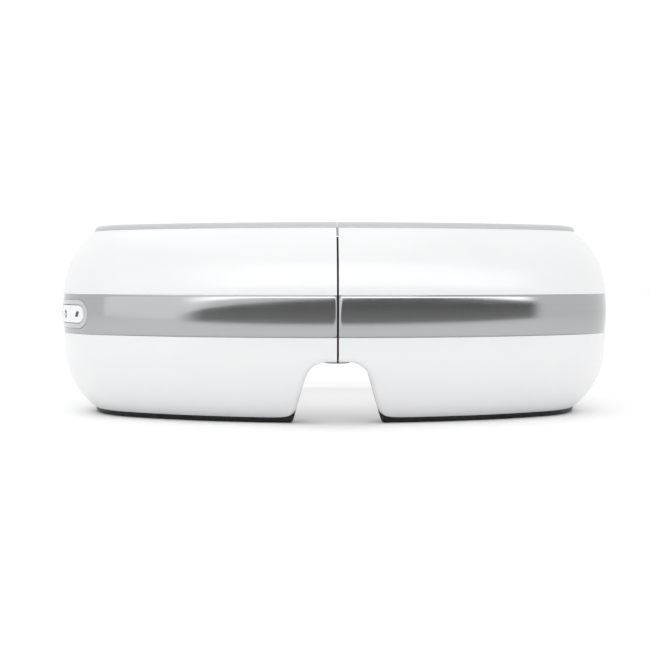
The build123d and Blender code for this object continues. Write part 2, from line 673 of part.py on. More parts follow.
write(hinge_leaf(0), "hinge_leaf_left")
write_right(hinge_leaf(1), "hinge_leaf_right")
write(upright(HINGE, HINGE_PIN_R, ARCH_TOP - BARREL_DROP + 0.4, BARREL_TOP - 0.2), "hinge_pin")

with BuildPart() as hinge_screws:
    for height in LEAF_SCREW_Z:
        with BuildSketch(Plane.XZ.offset(-(FRONT + LEAF_FRONT + LEAF_T))):
            with Locations((LEAF_SCREW_X, height)):
                Circle(LEAF_HEAD_R)
        extrude(amount=-LEAF_HEAD_H)
        with BuildSketch(Plane.XZ.offset(-(FRONT + LEAF_FRONT + LEAF_T))):
            with Locations((LEAF_SCREW_X, height)):
                Circle(LEAF_SCREW_R)
        extrude(amount=LEAF_SCREW_LENGTH)
        with BuildSketch(Plane.XZ.offset(-(FRONT + LEAF_FRONT + LEAF_T + LEAF_HEAD_H))):
            with Locations((LEAF_SCREW_X, height)):
                Rectangle(2.4, 0.5)
                Rectangle(0.5, 2.4)
        extrude(amount=0.5, mode=Mode.SUBTRACT)
write_pair(hinge_screws.part, "hinge_screws")

with BuildPart() as shell_screws:
    for angle, rise in SCREW_STATIONS:
        under = BACK - SCREW_HEAD_H - 0.15
        add(round_bar((angle, rise), SCREW_HEAD_R, under, under + SCREW_HEAD_H))
        add(round_bar((angle, rise), SCREW_SHANK_R, under - SCREW_LENGTH, under))
        with BuildSketch(station(angle, under + SCREW_HEAD_H, rise)):
            Rectangle(2.4, 0.5)
            Rectangle(0.5, 2.4)
        extrude(amount=0.6, mode=Mode.SUBTRACT)
write_pair(shell_screws.part, "shell_screws")


# ---------------------------------------------------------------- pads, air bags and heating films
PAD_NEAR = BACK + PAD_GAP
PAD_FAR = PAD_NEAR + PAD_BASE
PAD_END = TEMPLE_BAG[1] + 2
POCKET = PAD_NEAR + BAG_T + 3 * BAG_GAP + HEATER_T
BAG_NEAR = BACK + 2 * BAG_GAP

with BuildPart() as face_pad:
    half = RIM_HALF - PAD_INSET
    add(arc_block(PAD_NEAR, PAD_FAR, -half, half, 0, TURN))
    add(arc_block(PAD_NEAR, PAD_FAR, -half, half, TURN, PAD_END))
    with BuildSketch(station(EYE_ANGLE, PAD_FAR + EYE_RING_RISE)):
        Ellipse(EYE_RING_W / 2, EYE_RING_H / 2)
    extrude(amount=EYE_RING_RISE + PAD_BASE / 2)
    with BuildSketch(station(EYE_ANGLE, PAD_FAR + EYE_RING_RISE + 1)):
        Ellipse(EYE_HOLE_W / 2, EYE_HOLE_H / 2)
    extrude(amount=PAD_FAR + EYE_RING_RISE + 1 - POCKET - 0.6, mode=Mode.SUBTRACT)
    add(outline(PAD_INSET, RIM_CORNER_R + 2, 0.6), mode=Mode.INTERSECT)
    add(arc_block(PAD_NEAR - 1, POCKET, -BAG_HALF - BAG_GAP, BAG_HALF + BAG_GAP, EYE_BAG[0] - 0.2, EYE_BAG[1] + 0.2), mode=Mode.SUBTRACT)
    add(
        arc_block(PAD_NEAR - 1, POCKET - HEATER_T, -BAG_HALF - BAG_GAP, BAG_HALF + BAG_GAP, TEMPLE_BAG[0] - 0.5, TEMPLE_BAG[1] + 0.5),
        mode=Mode.SUBTRACT,
    )
    add(upright(HINGE, BARREL_R + 1, -BIG, BIG), mode=Mode.SUBTRACT)
    add(fold_wedge(), mode=Mode.SUBTRACT)
write_pair(face_pad.part, "face_pad")


def air_bag(span, stub):
    with BuildPart() as bag:
        add(arc_block(BAG_NEAR, BAG_NEAR + BAG_T, -BAG_HALF, BAG_HALF, *span))
        fillet(bag.edges(), radius=0.8)
        add(round_bar(stub, NOZZLE_R, PARTING + 3.4, BAG_NEAR + 0.5))
    return bag.part


write_pair(air_bag(EYE_BAG, BAG_STUBS[0]), "eye_airbag")
write_pair(air_bag(TEMPLE_BAG, BAG_STUBS[1]), "temple_airbag")
film = arc_block(POCKET - HEATER_T - 0.1, POCKET - 0.1, -BAG_HALF + 1, BAG_HALF - 1, EYE_BAG[0] + 0.5, EYE_BAG[1] - 0.5)
write_pair(film, "heating_film")


# ---------------------------------------------------------------- air pump, valve and tubes
PUMP = xy_of(PUMP_ANGLE, PUMP_DEPTH)
HEAD_LOW = Z_MID + PUMP_LOW + PUMP_MOTOR_LENGTH
HEAD_HIGH = HEAD_LOW + PUMP_HEAD_LENGTH
HEAD_WIDTH = 2 * PUMP_R + 0.4

with BuildPart() as air_pump:
    add(upright(PUMP, PUMP_R, Z_MID + PUMP_LOW, HEAD_LOW))
    with BuildSketch(Plane.XY.offset(HEAD_LOW)):
        with Locations(PUMP):
            Rectangle(HEAD_WIDTH, HEAD_WIDTH, rotation=PUMP_ANGLE)
    extrude(amount=PUMP_HEAD_LENGTH)
    add(upright(PUMP, PUMP_BORE_R, HEAD_LOW + 1, HEAD_HIGH + 1), mode=Mode.SUBTRACT)
    add(upright(PUMP, PUMP_BORE_R + 0.6, HEAD_HIGH - 1.6, HEAD_HIGH + 1), mode=Mode.SUBTRACT)
    add(upright(PUMP, NOZZLE_R + PIN_CLEARANCE, HEAD_LOW - 6, HEAD_LOW + 2), mode=Mode.SUBTRACT)
write_pair(air_pump.part, "air_pump")

with BuildPart() as pump_diaphragm:
    add(upright(PUMP, PUMP_BORE_R + 0.55, HEAD_HIGH - 1.6, HEAD_HIGH - 0.2))
    fillet(pump_diaphragm.edges().sort_by(Axis.Z)[-1], radius=0.5)
write_pair(pump_diaphragm.part, "pump_diaphragm")

with BuildPart() as pump_rotor:
    add(upright(PUMP, NOZZLE_R, HEAD_LOW - 5, HEAD_LOW + 3))
    with BuildSketch(Plane.XY.offset(HEAD_LOW + 3)):
        with Locations((PUMP[0] + CAM_OFFSET, PUMP[1])):
            Circle(CAM_R)
    extrude(amount=CAM_LENGTH)
write_pair(pump_rotor.part, "pump_rotor")

with BuildPart() as air_valve:
    with BuildSketch(station(VALVE_ANGLE, VALVE_DEPTH + VALVE[2] / 2)):
        RectangleRounded(VALVE[0], VALVE[1], 1)
    extrude(amount=VALVE[2])
    add(round_bar((VALVE_ANGLE, 0), NOZZLE_R + PIN_CLEARANCE, VALVE_DEPTH + VALVE[2] / 2 - 2, BACK), mode=Mode.SUBTRACT)
write_pair(air_valve.part, "air_valve")

TUBE_LEVEL = Z_MID + BAG_STUBS[0][1]
head_plane = station(PUMP_ANGLE, PUMP_DEPTH)
along = head_plane.x_dir
tube_start = Vector(*PUMP, TUBE_LEVEL) - along * (HEAD_WIDTH / 2 + 0.05)
tube_bend = Vector(*PUMP, TUBE_LEVEL) - along * (HEAD_WIDTH / 2 + 5)
valve_side = station(VALVE_ANGLE, VALVE_DEPTH).origin
valve_along = station(VALVE_ANGLE, VALVE_DEPTH).x_dir


def tube(points, bend):
    with BuildPart() as hose:
        with BuildLine():
            path = FilletPolyline(*points, radius=bend) if len(points) > 2 else Line(*points)
        with BuildSketch(Plane(origin=path @ 0, z_dir=path % 0)):
            Circle(TUBE_R)
            Circle(NOZZLE_R + PIN_CLEARANCE, mode=Mode.SUBTRACT)
        sweep(path=path)
    return hose.part


with BuildPart() as air_tube:
    turn_back = Vector(*xy_of(BAG_STUBS[0][0], PARTING), TUBE_LEVEL)
    tube_end = Vector(*xy_of(BAG_STUBS[0][0], BACK - BACK_WALL - 0.1), TUBE_LEVEL)
    side_bend = Vector(*xy_of(BAG_STUBS[0][0] + 4.5, PARTING), TUBE_LEVEL)
    add(tube([tube_start, tube_bend, side_bend, turn_back, tube_end], 1.8))
    start = Vector(*PUMP, Z_MID + 5) + along * (HEAD_WIDTH / 2)
    end = Vector(valve_side.X, valve_side.Y, Z_MID + 5) - valve_along * VALVE[0] / 2
    add(tube([start, end], 0))
    add(air_pump.part, mode=Mode.SUBTRACT)
    add(air_valve.part, mode=Mode.SUBTRACT)
write_pair(air_tube.part, "air_tube")


# ---------------------------------------------------------------- vibration motors and speakers
MOTOR = xy_of(MOTOR_ANGLE, MOTOR_DEPTH)
MOTOR_TOP = Z_MID + MOTOR_LOW + MOTOR_LENGTH

with BuildPart() as vibration_motor:
    add(upright(MOTOR, MOTOR_R, Z_MID + MOTOR_LOW, MOTOR_TOP))
    add(upright(MOTOR, SHAFT_R + PIN_CLEARANCE, MOTOR_TOP - 4, MOTOR_TOP + 1), mode=Mode.SUBTRACT)
write_pair(vibration_motor.part, "vibration_motor")

with BuildPart() as vibration_weight:
    with BuildSketch(Plane.XY.offset(MOTOR_TOP + 0.4)):
        with Locations(MOTOR):
            Circle(WEIGHT_R)
            with Locations((0, SHAFT_R + 0.4)):
                Rectangle(3 * WEIGHT_R, 2 * WEIGHT_R, align=(Align.CENTER, Align.MIN), mode=Mode.SUBTRACT)
    extrude(amount=WEIGHT_LENGTH)
    add(upright(MOTOR, SHAFT_R, MOTOR_TOP - 3.5, MOTOR_TOP + 0.4 + WEIGHT_LENGTH))
write_pair(vibration_weight.part, "vibration_weight")

with BuildPart() as speaker:
    back = SPEAKER_DEPTH + SPEAKER_T / 2
    add(round_bar((SPEAKER_ANGLE, 0), SPEAKER_R, back - SPEAKER_T, back))
    add(round_bar((SPEAKER_ANGLE, 0), SPEAKER_R - 1.2, back - 0.5, back), mode=Mode.SUBTRACT)
    add(round_bar((SPEAKER_ANGLE, 0), SPEAKER_R * 0.55, back - SPEAKER_T - 1.4, back - SPEAKER_T))
write_pair(speaker.part, "speaker")

with BuildPart() as speaker_mesh:
    with BuildSketch(station(SPEAKER_ANGLE, BACK - 0.1)):
        Circle(MESH_R)
        with HexLocations(MESH_HOLE_R * 1.5, 7, 7):
            Circle(MESH_HOLE_R, mode=Mode.SUBTRACT)
    extrude(amount=MESH_T)
write_pair(speaker_mesh.part, "speaker_mesh")


# ---------------------------------------------------------------- battery, circuit board
with BuildPart() as battery:
    with BuildSketch(station(BOARD_ANGLE, BATTERY_DEPTH + BATTERY[2] / 2)):
        RectangleRounded(BATTERY[0], BATTERY[1], 1.5)
    extrude(amount=BATTERY[2])
    fillet(battery.faces().sort_by(Axis.Y)[0].edges(), radius=0.8)
write(battery.part, "battery")

with BuildPart() as main_board:
    with BuildSketch(station(BOARD_ANGLE, BOARD_DEPTH + BOARD[2] / 2)):
        RectangleRounded(BOARD[0], BOARD[1], 2)
        with Locations(BOARD_PEGS):
            Circle(0.85, mode=Mode.SUBTRACT)
    extrude(amount=BOARD[2])
write_right(main_board.part, "main_board")

with BuildPart() as board_chips:
    for x, y, wide, tall, thick in ((-6, 6, 8, 8, 1.2), (6, 8, 5, 4, 1.0), (-8, -7, 6, 5, 1.0), (3, -6, 4, 7, 1.4), (9, -2, 3, 3, 0.8)):
        with BuildSketch(station(BOARD_ANGLE, BOARD_DEPTH + BOARD[2] / 2)):
            with Locations((x, y)):
                Rectangle(wide, tall)
        extrude(amount=-thick)
write_right(board_chips.part, "board_chips")


# ---------------------------------------------------------------- headband
strap_pin = upright(ANCHOR, STRAP_PIN_R, Z_MID - STRAP_HEIGHT / 2 - LUG_GAP - LUG_T + 0.2, Z_MID + STRAP_HEIGHT / 2 + LUG_GAP + LUG_T - 0.2)
write_pair(strap_pin, "strap_pin")

START_ANGLE = degrees(atan2(ANCHOR[1] - STRAP_CENTRE[1], ANCHOR_X))
RING_ANGLE = degrees(RING_SPAN / STRAP_R)


def on_strap(angle):
    """Plan position on the middle line of the strap, angle measured from +X."""
    return (STRAP_R * cos(radians(angle)), STRAP_CENTRE[1] + STRAP_R * sin(radians(angle)))


def ribbon(radius, thickness, height, start, end):
    """A vertical ribbon bent round the strap's centre."""
    out = Vector(cos(radians(start)), sin(radians(start)), 0)
    plane = Plane(origin=(*STRAP_CENTRE, Z_MID), x_dir=out, z_dir=out.cross(Vector(0, 0, 1)))
    with BuildPart() as piece:
        with BuildSketch(plane):
            with Locations((radius, 0)):
                Rectangle(thickness, height)
        revolve(axis=Axis((*STRAP_CENTRE, 0), (0, 0, -1)), revolution_arc=-(end - start))
    return piece.part


def strap(end_angle):
    low = Z_MID - STRAP_HEIGHT / 2
    high = Z_MID + STRAP_HEIGHT / 2
    bar_bore = RING_BAR_R + STRAP_LOOP_CLEARANCE
    pin_bore = STRAP_PIN_R + STRAP_LOOP_CLEARANCE
    with BuildPart() as webbing:
        add(ribbon(STRAP_R, STRAP_T, STRAP_HEIGHT, START_ANGLE, end_angle))
        add(upright(ANCHOR, pin_bore + STRAP_T, low, high))
        add(upright(on_strap(end_angle), bar_bore + STRAP_T, low, high))
        add(upright(ANCHOR, pin_bore, low - 1, high + 1), mode=Mode.SUBTRACT)
        add(upright(on_strap(end_angle), bar_bore, low - 1, high + 1), mode=Mode.SUBTRACT)
    return webbing.part


write(strap(90), "strap_left")
write_right(strap(90 - RING_ANGLE), "strap_right")

ring_bars = [Vector(*on_strap(angle), Z_MID) for angle in (90, 90 - RING_ANGLE)]
across = ring_bars[1] - ring_bars[0]
ring_plane = Plane(origin=(ring_bars[0] + ring_bars[1]) / 2, x_dir=across, z_dir=across.cross(Vector(0, 0, 1)))
with BuildPart() as strap_ring:
    with BuildSketch(ring_plane, mode=Mode.PRIVATE) as ring_outline:
        RectangleRounded(across.length, STRAP_HEIGHT + 2 * RING_BAR_R + 1.2, 1.5 * RING_BAR_R)
    path = ring_outline.sketch.wires()[0]
    with BuildSketch(Plane(origin=path @ 0, z_dir=path % 0)):
        Circle(RING_BAR_R)
    sweep(path=path)
write_right(strap_ring.part, "strap_ring")

tab_start = 90 - degrees((RING_BAR_R + STRAP_LOOP_CLEARANCE + STRAP_T + 1 + TAB_LENGTH) / STRAP_R)
tab_end = tab_start + degrees(TAB_LENGTH / STRAP_R)
tab = ribbon(STRAP_R + STRAP_T / 2 + TAB_T / 2 + 0.02, TAB_T, STRAP_HEIGHT - 2, tab_start, tab_end)
write(tab, "hook_tab")
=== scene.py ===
"""Eye massager mask: finishes, soft pieces, light and camera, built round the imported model.

Lengths are in metres. +Z is up, -Y is the front of the mask and +X is the wearer's left.
"""

import json

import bmesh
import bpy
import numpy as np
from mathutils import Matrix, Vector
from mathutils.bvhtree import BVHTree


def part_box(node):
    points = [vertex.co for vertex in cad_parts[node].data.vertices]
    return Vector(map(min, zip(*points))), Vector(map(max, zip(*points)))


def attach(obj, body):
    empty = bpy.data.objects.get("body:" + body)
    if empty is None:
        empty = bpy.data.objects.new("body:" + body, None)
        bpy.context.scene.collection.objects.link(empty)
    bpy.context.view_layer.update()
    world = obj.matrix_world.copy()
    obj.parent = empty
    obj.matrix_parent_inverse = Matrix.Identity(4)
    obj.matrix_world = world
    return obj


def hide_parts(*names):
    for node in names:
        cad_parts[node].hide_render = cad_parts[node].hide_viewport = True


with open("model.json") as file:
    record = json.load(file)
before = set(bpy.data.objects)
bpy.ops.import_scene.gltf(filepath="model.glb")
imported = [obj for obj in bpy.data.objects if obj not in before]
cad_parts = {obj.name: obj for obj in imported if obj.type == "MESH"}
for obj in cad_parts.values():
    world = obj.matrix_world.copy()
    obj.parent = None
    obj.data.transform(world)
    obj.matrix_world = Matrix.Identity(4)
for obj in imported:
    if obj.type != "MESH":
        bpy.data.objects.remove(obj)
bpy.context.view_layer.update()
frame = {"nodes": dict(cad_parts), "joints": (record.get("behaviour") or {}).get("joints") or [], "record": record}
nodes = frame["nodes"]
joints = {joint["name"]: joint for joint in frame["joints"]}

MM = 0.001
TOUCHING = 0.0002 * MM  # points of one sheet that are closer together than this are one point

# ---------------------------------------------------------------- sizes that the new pieces follow
R_FRONT = 165 * MM
R_CORNER = 44 * MM
R_ROLL = 30 * MM
HALF_WIDTH = 106 * MM
SEAM_HALF = 0.35 * MM
PARTING = 12 * MM
BACK = 18 * MM
# height of the black moulding's top edge that is painted grey as a highlight
HIGHLIGHT_LIP_HEIGHT = 2 * MM
BAND_RISE = 2.6 * MM
BAND_HEIGHT = 14.8 * MM
BAND_CROWN = 0.4 * MM
BAND_T = 0.8 * MM
PANEL_HEIGHT = 10.5 * MM
PANEL_MID = np.radians(65.55)
PANEL_LENGTH = 34.456 * MM
PANEL_GAP = 0.05 * MM
BUTTON_PROUD = 0.6 * MM
PAD_FAR = 23.8 * MM
EYE_ANGLE = np.radians(12)
EYE_RING = (42 * MM, 40 * MM)
EYE_HOLE = (27 * MM, 25 * MM)
EYE_COVER_DEPTH = 22.5 * MM
STRAP_HEIGHT = 28 * MM
STRAP_T = 1.5 * MM
PIN_WRAP = 2.25 * MM
BAR_WRAP = 2.0 * MM
RING_SPAN = 9 * MM

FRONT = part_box("front_shell_left")[0][1]
Z_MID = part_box("rear_shell_left")[1][2] / 2
TURN = np.arcsin((HALF_WIDTH - R_CORNER) / (R_FRONT - R_CORNER))
CORNER_X = HALF_WIDTH - R_CORNER
CORNER_Y = FRONT + R_FRONT - (R_FRONT - R_CORNER) * np.cos(TURN)
ANCHOR = np.array(joints["strap_left_swing"]["pos_m"][:2])
HINGE_Y = joints["fold"]["pos_m"][1]
RING_Y = 2 * ANCHOR[1] - HINGE_Y
STRAP_R = (ANCHOR[0] ** 2 + (RING_Y - ANCHOR[1]) ** 2) / (2 * (RING_Y - ANCHOR[1]))
STRAP_Y = RING_Y - STRAP_R


# ---------------------------------------------------------------- surfaces
def piece(name, points, faces, side=None, uv=None):
    """A mesh object from arrays of points and faces; side -1 mirrors it to the wearer's right."""
    points = np.array(points, dtype=float).reshape(-1, 3)
    faces = np.array(faces)
    if side == -1:
        points = points * (-1, 1, 1)
        faces = faces[:, ::-1]
    mesh = bpy.data.meshes.new(name)
    mesh.from_pydata(points.tolist(), [], faces.tolist())
    if uv is not None:
        layer = mesh.uv_layers.new(name="UVMap")
        order = np.empty(len(mesh.loops), dtype=int)
        mesh.loops.foreach_get("vertex_index", order)
        layer.data.foreach_set("uv", np.array(uv, dtype=float).reshape(-1, 2)[order].ravel())
    mesh.polygons.foreach_set("use_smooth", [True] * len(mesh.polygons))
    mesh.update()
    made = bpy.data.objects.new(name, mesh)
    bpy.context.scene.collection.objects.link(made)
    return made


def grid_faces(rows, columns, closed=False):
    """Quads of a rows by columns grid of points; the last column joins the first where it is closed."""
    column = np.arange(columns if closed else columns - 1)
    r, c = (a.ravel() for a in np.meshgrid(np.arange(rows - 1), column, indexing="ij"))
    here, above, c_next = r * columns, (r + 1) * columns, (c + 1) % columns
    return np.stack([here + c, here + c_next, above + c_next, above + c], axis=1)


def around(angle, depth=0.0):
    """Plan curve of the skin by the angle from straight ahead: front arc, corner arc, roll at the end."""
    angle, depth = np.broadcast_arrays(np.asarray(angle, dtype=float), depth)
    front, corner = angle < TURN, angle <= np.pi / 2
    centre_x = np.where(front, 0, np.where(corner, CORNER_X, HALF_WIDTH - R_ROLL))
    centre_y = np.where(front, FRONT + R_FRONT, CORNER_Y)
    radius = np.where(front, R_FRONT, np.where(corner, R_CORNER, R_ROLL)) - depth
    return centre_x + radius * np.sin(angle), centre_y - radius * np.cos(angle)


def merge(made, gap):
    """Joins the points of a piece that lie closer together than gap."""
    shape = bmesh.new()
    shape.from_mesh(made.data)
    bmesh.ops.remove_doubles(shape, verts=shape.verts, dist=gap)
    shape.to_mesh(made.data)
    shape.free()


def face_outwards(made):
    """Turns all faces of a closed piece outwards."""
    shape = bmesh.new()
    shape.from_mesh(made.data)
    bmesh.ops.recalc_face_normals(shape, faces=shape.faces)
    shape.to_mesh(made.data)
    shape.free()


def solidify(made, thickness, offset=-1.0):
    """Gives a sheet its wall: behind its face at offset -1, on it at 1, and half each way at 0."""
    wall = made.modifiers.new("wall", "SOLIDIFY")
    wall.thickness = thickness
    wall.offset = offset
    return made


def apply_all(made):
    """Makes a piece's modifiers part of its mesh."""
    bpy.context.view_layer.update()
    solid = bpy.data.meshes.new_from_object(made.evaluated_get(bpy.context.evaluated_depsgraph_get()))
    made.modifiers.clear()
    made.data = solid


# ---------------------------------------------------------------- finishes
class Shade:
    """A shader output in an arithmetic expression; each operator adds a Math node."""

    def __init__(self, paint, socket):
        self.paint = paint
        self.socket = socket

    def math(self, operation, *terms):
        return self.paint.node("ShaderNodeMath", {"operation": operation}, dict(enumerate(terms)))

    def __add__(self, other):
        return self.math("ADD", self, other)

    def __sub__(self, other):
        return self.math("SUBTRACT", self, other)

    def __rsub__(self, other):
        return self.math("SUBTRACT", other, self)

    def __mul__(self, other):
        return self.math("MULTIPLY", self, other)

    __radd__ = __add__
    __rmul__ = __mul__

    def wave(self, pitch):
        """A smooth wave from 0 to 1 that repeats each pitch."""
        return self.math("SINE", self * (2 * np.pi / pitch)) * 0.5 + 0.5

    def between(self, low, high):
        """0 below low, 1 above high, and a smooth step between."""
        settings = {"interpolation_type": "SMOOTHSTEP"}
        return self.paint.node("ShaderNodeMapRange", settings, {0: self, 1: low, 2: high})


class Paint:
    """A material under construction, with its Principled shader ready."""

    def __init__(self, name, colour, roughness, metallic=0.0, **constants):
        self.material = bpy.data.materials.new(name)
        self.material.use_nodes = True
        self.tree = self.material.node_tree
        self.shader = self.tree.nodes["Principled BSDF"]
        self.colour = (*colour, 1.0)
        self.material.diffuse_color = self.colour
        self.set("Base Color", self.colour)
        self.set("Roughness", roughness)
        self.set("Metallic", metallic)
        for socket, value in constants.items():
            self.set(socket.replace("_", " ").title().replace("Ior", "IOR"), value)

    def node(self, kind, settings=None, sockets=None, output=0):
        """One node: its settings first, then its sockets' values or links. Returns one of its outputs."""
        made = self.tree.nodes.new(kind)
        for key, value in (settings or {}).items():
            setattr(made, key, value)
        for key, value in (sockets or {}).items():
            self.join(made.inputs[key], value)
        return Shade(self, made.outputs[output])

    def join(self, socket, value):
        if isinstance(value, Shade):
            self.tree.links.new(value.socket, socket)
        else:
            socket.default_value = value

    def set(self, socket, value):
        self.join(self.shader.inputs[socket], value)

    def place(self, stretch=None):
        """Object coordinates, stretched by a factor along each axis."""
        spot = self.node("ShaderNodeTexCoord", output="Object")
        if stretch is None:
            return spot
        return self.node("ShaderNodeVectorMath", {"operation": "MULTIPLY"}, {0: spot, 1: stretch})

    def along(self):
        """The piece's own UV map, in metres along and across it."""
        return self.node("ShaderNodeUVMap", {"uv_map": "UVMap"})

    def axes(self, spot):
        """The three components of a vector output."""
        split = self.node("ShaderNodeSeparateXYZ", {}, {0: spot}).socket.node
        return [Shade(self, output) for output in split.outputs]

    def noise(self, size, detail=3.0, spot=None, roughness=0.5):
        """Soft noise whose blobs are about size metres across."""
        sockets = {"Vector": spot or self.place(), "Scale": 1 / size, "Detail": detail, "Roughness": roughness}
        return self.node("ShaderNodeTexNoise", {}, sockets)

    def cells(self, size, feature="F1"):
        """Cells about size metres across: the distance to a cell's middle, or to its edge."""
        settings = {"feature": feature}
        return self.node("ShaderNodeTexVoronoi", settings, {"Vector": self.place(), "Scale": 1 / size})

    def mix(self, amount, first, second):
        """A colour from first to second by amount."""
        made = self.tree.nodes.new("ShaderNodeMix")
        made.data_type = "RGBA"
        factor, colour_a, colour_b, colour_out = 0, 6, 7, 2
        self.join(made.inputs[factor], amount)
        for key, value in ((colour_a, first), (colour_b, second)):
            self.join(made.inputs[key], (*value, 1.0) if isinstance(value, tuple) else value)
        return Shade(self, made.outputs[colour_out])

    def bump(self, height, depth):
        """Relief of a depth in metres, from a height of about 0 to 1."""
        return self.node("ShaderNodeBump", {}, {"Height": height, "Distance": depth, "Strength": 1.0})


def shell_white():
    coat = {"coat_weight": 0.25, "coat_roughness": 0.12}
    glow = {"subsurface_weight": 0.04, "subsurface_scale": 0.002}
    paint = Paint("shell white", (0.795, 0.8, 0.808), 0.3, **coat, **glow)
    drift = paint.noise(18 * MM, 2)
    paint.set("Base Color", paint.mix(drift, (0.785, 0.79, 0.8), (0.805, 0.808, 0.814)))
    paint.set("Roughness", 0.26 + 0.07 * paint.noise(6 * MM, 3))
    paint.set("Normal", paint.bump(paint.noise(0.5 * MM, 2), 0.002 * MM))
    return paint.material


def band_plated():
    paint = Paint("band plating", (0.42, 0.425, 0.43), 0.08, 1.0)
    streak = paint.noise(1.0, 4, paint.place((12, 12, 4200)), 0.6)
    haze = paint.noise(9 * MM, 3)
    paint.set("Base Color", paint.mix(streak, (0.4, 0.403, 0.41), (0.44, 0.444, 0.45)))
    paint.set("Roughness", 0.06 + 0.07 * streak + 0.03 * haze)
    paint.set("Normal", paint.bump(streak, 0.0008 * MM))
    return paint.material


def black_moulding(name, tone, grain, roughness):
    """Black plastic of a tone, with sparks about grain metres across."""
    paint = Paint(name, (tone, tone, tone * 1.06), roughness, coat_weight=0.15, coat_roughness=0.25)
    cloud = paint.noise(4 * MM, 3)
    spark = paint.noise(grain, 2)
    light = tuple(tone * f for f in (1.5, 1.5, 1.58))
    dark = tuple(tone * f for f in (0.8, 0.8, 0.85))
    paint.set("Base Color", paint.mix(cloud, dark, light))
    paint.set("Roughness", roughness - 0.06 + 0.12 * cloud + 0.05 * spark)
    paint.set("Normal", paint.bump(spark, 0.006 * MM))
    return paint.material


def shell_black():
    """Black moulding whose upper lip, above the white shell, is painted as a pale grey strip: a painted highlight
    standing in for the top light grazing the dark plastic.
    """
    paint = Paint("shell black", (0.012, 0.012, 0.013), 0.32, specular_ior_level=0.25)
    _, _, height = paint.axes(paint.place())
    cloud = paint.noise(4 * MM, 3)
    spark = paint.noise(0.35 * MM, 2)
    black = paint.mix(cloud, (0.009, 0.009, 0.01), (0.018, 0.018, 0.019))
    # pale grey of the painted highlight on the top edge; the moulding itself is black
    grey = paint.mix(cloud, (0.5, 0.505, 0.515), (0.56, 0.565, 0.575))
    painted_highlight = height.between(2 * Z_MID - HIGHLIGHT_LIP_HEIGHT, 2 * Z_MID - 0.97 * HIGHLIGHT_LIP_HEIGHT)
    paint.set("Base Color", paint.mix(painted_highlight, black, grey))
    paint.set("Roughness", 0.26 + 0.12 * cloud + 0.05 * spark)
    paint.set("Normal", paint.bump(spark, 0.006 * MM))
    return paint.material


def bezel_grey():
    coat = {"coat_weight": 0.6, "coat_roughness": 0.05}
    glow = {"subsurface_weight": 0.15, "subsurface_scale": 0.002}
    paint = Paint("bezel grey", (0.5, 0.515, 0.53), 0.16, **coat, **glow)
    haze = paint.noise(2.5 * MM, 3)
    paint.set("Base Color", paint.mix(haze, (0.47, 0.485, 0.5), (0.54, 0.552, 0.568)))
    paint.set("Roughness", 0.12 + 0.08 * haze)
    return paint.material


def button_white():
    paint = Paint("button white", (0.84, 0.845, 0.855), 0.36)
    paint.set("Roughness", 0.32 + 0.1 * paint.noise(1.2 * MM, 3))
    paint.set("Base Color", paint.mix(paint.noise(5 * MM, 2), (0.82, 0.825, 0.835), (0.86, 0.865, 0.872)))
    paint.set("Normal", paint.bump(paint.noise(0.25 * MM, 2), 0.004 * MM))
    return paint.material


def mark_grey():
    paint = Paint("printed mark", (0.07, 0.072, 0.078), 0.5)
    paint.set("Base Color", paint.mix(paint.noise(0.4 * MM, 2), (0.055, 0.057, 0.062), (0.09, 0.092, 0.1)))
    return paint.material


def plain_steel(name="steel", tone=(0.52, 0.52, 0.54), roughness=0.28):
    """Turned metal: steel, or another metal by its tone."""
    paint = Paint(name, tone, roughness, 1.0)
    turning = paint.noise(1.0, 4, paint.place((700, 700, 9000)), 0.6)
    paint.set("Roughness", roughness - 0.06 + 0.16 * turning)
    paint.set("Base Color", paint.mix(paint.noise(3 * MM, 3), tuple(c * 0.85 for c in tone), tone))
    paint.set("Normal", paint.bump(turning, 0.003 * MM))
    return paint.material


def pad_leather():
    paint = Paint("pad leather", (0.03, 0.03, 0.033), 0.52, sheen_weight=0.12, sheen_roughness=0.4)
    pebble = paint.cells(1.15 * MM, "DISTANCE_TO_EDGE")
    crease = pebble.between(0.0, 0.16)
    soft = paint.noise(9 * MM, 4)
    pores = paint.noise(0.35 * MM, 3)
    paint.set("Base Color", paint.mix(crease * 0.7 + soft * 0.3, (0.016, 0.016, 0.018), (0.042, 0.041, 0.044)))
    paint.set("Roughness", 0.62 - 0.14 * crease + 0.1 * (soft - 0.5))
    paint.set("Normal", paint.bump(crease * 0.8 + pores * 0.3 + soft * 0.3, 0.09 * MM))
    return paint.material


def webbing():
    paint = Paint("elastic webbing", (0.03, 0.03, 0.034), 0.8, sheen_weight=0.25, sheen_roughness=0.5)
    run, rise, _ = paint.axes(paint.along())
    rib = rise.wave(1.6 * MM)
    over = (run + 0.55 * MM * rib.between(0.45, 0.55)).wave(1.1 * MM)
    fuzz = paint.noise(0.3 * MM, 3)
    weave = rib * 0.45 + over * 0.55
    paint.set("Base Color", paint.mix(weave * 0.8 + fuzz * 0.2, (0.012, 0.012, 0.014), (0.055, 0.055, 0.06)))
    paint.set("Roughness", 0.86 - 0.12 * weave)
    paint.set("Normal", paint.bump(weave + 0.25 * fuzz, 0.14 * MM))
    return paint.material


def hook_patch():
    paint = Paint("hook patch", (0.02, 0.02, 0.022), 0.75)
    run, rise, _ = paint.axes(paint.along())
    hooks = run.wave(0.9 * MM) * rise.wave(0.9 * MM)
    paint.set("Base Color", paint.mix(hooks, (0.01, 0.01, 0.011), (0.06, 0.06, 0.064)))
    paint.set("Normal", paint.bump(hooks + 0.3 * paint.noise(0.3 * MM, 2), 0.3 * MM))
    return paint.material


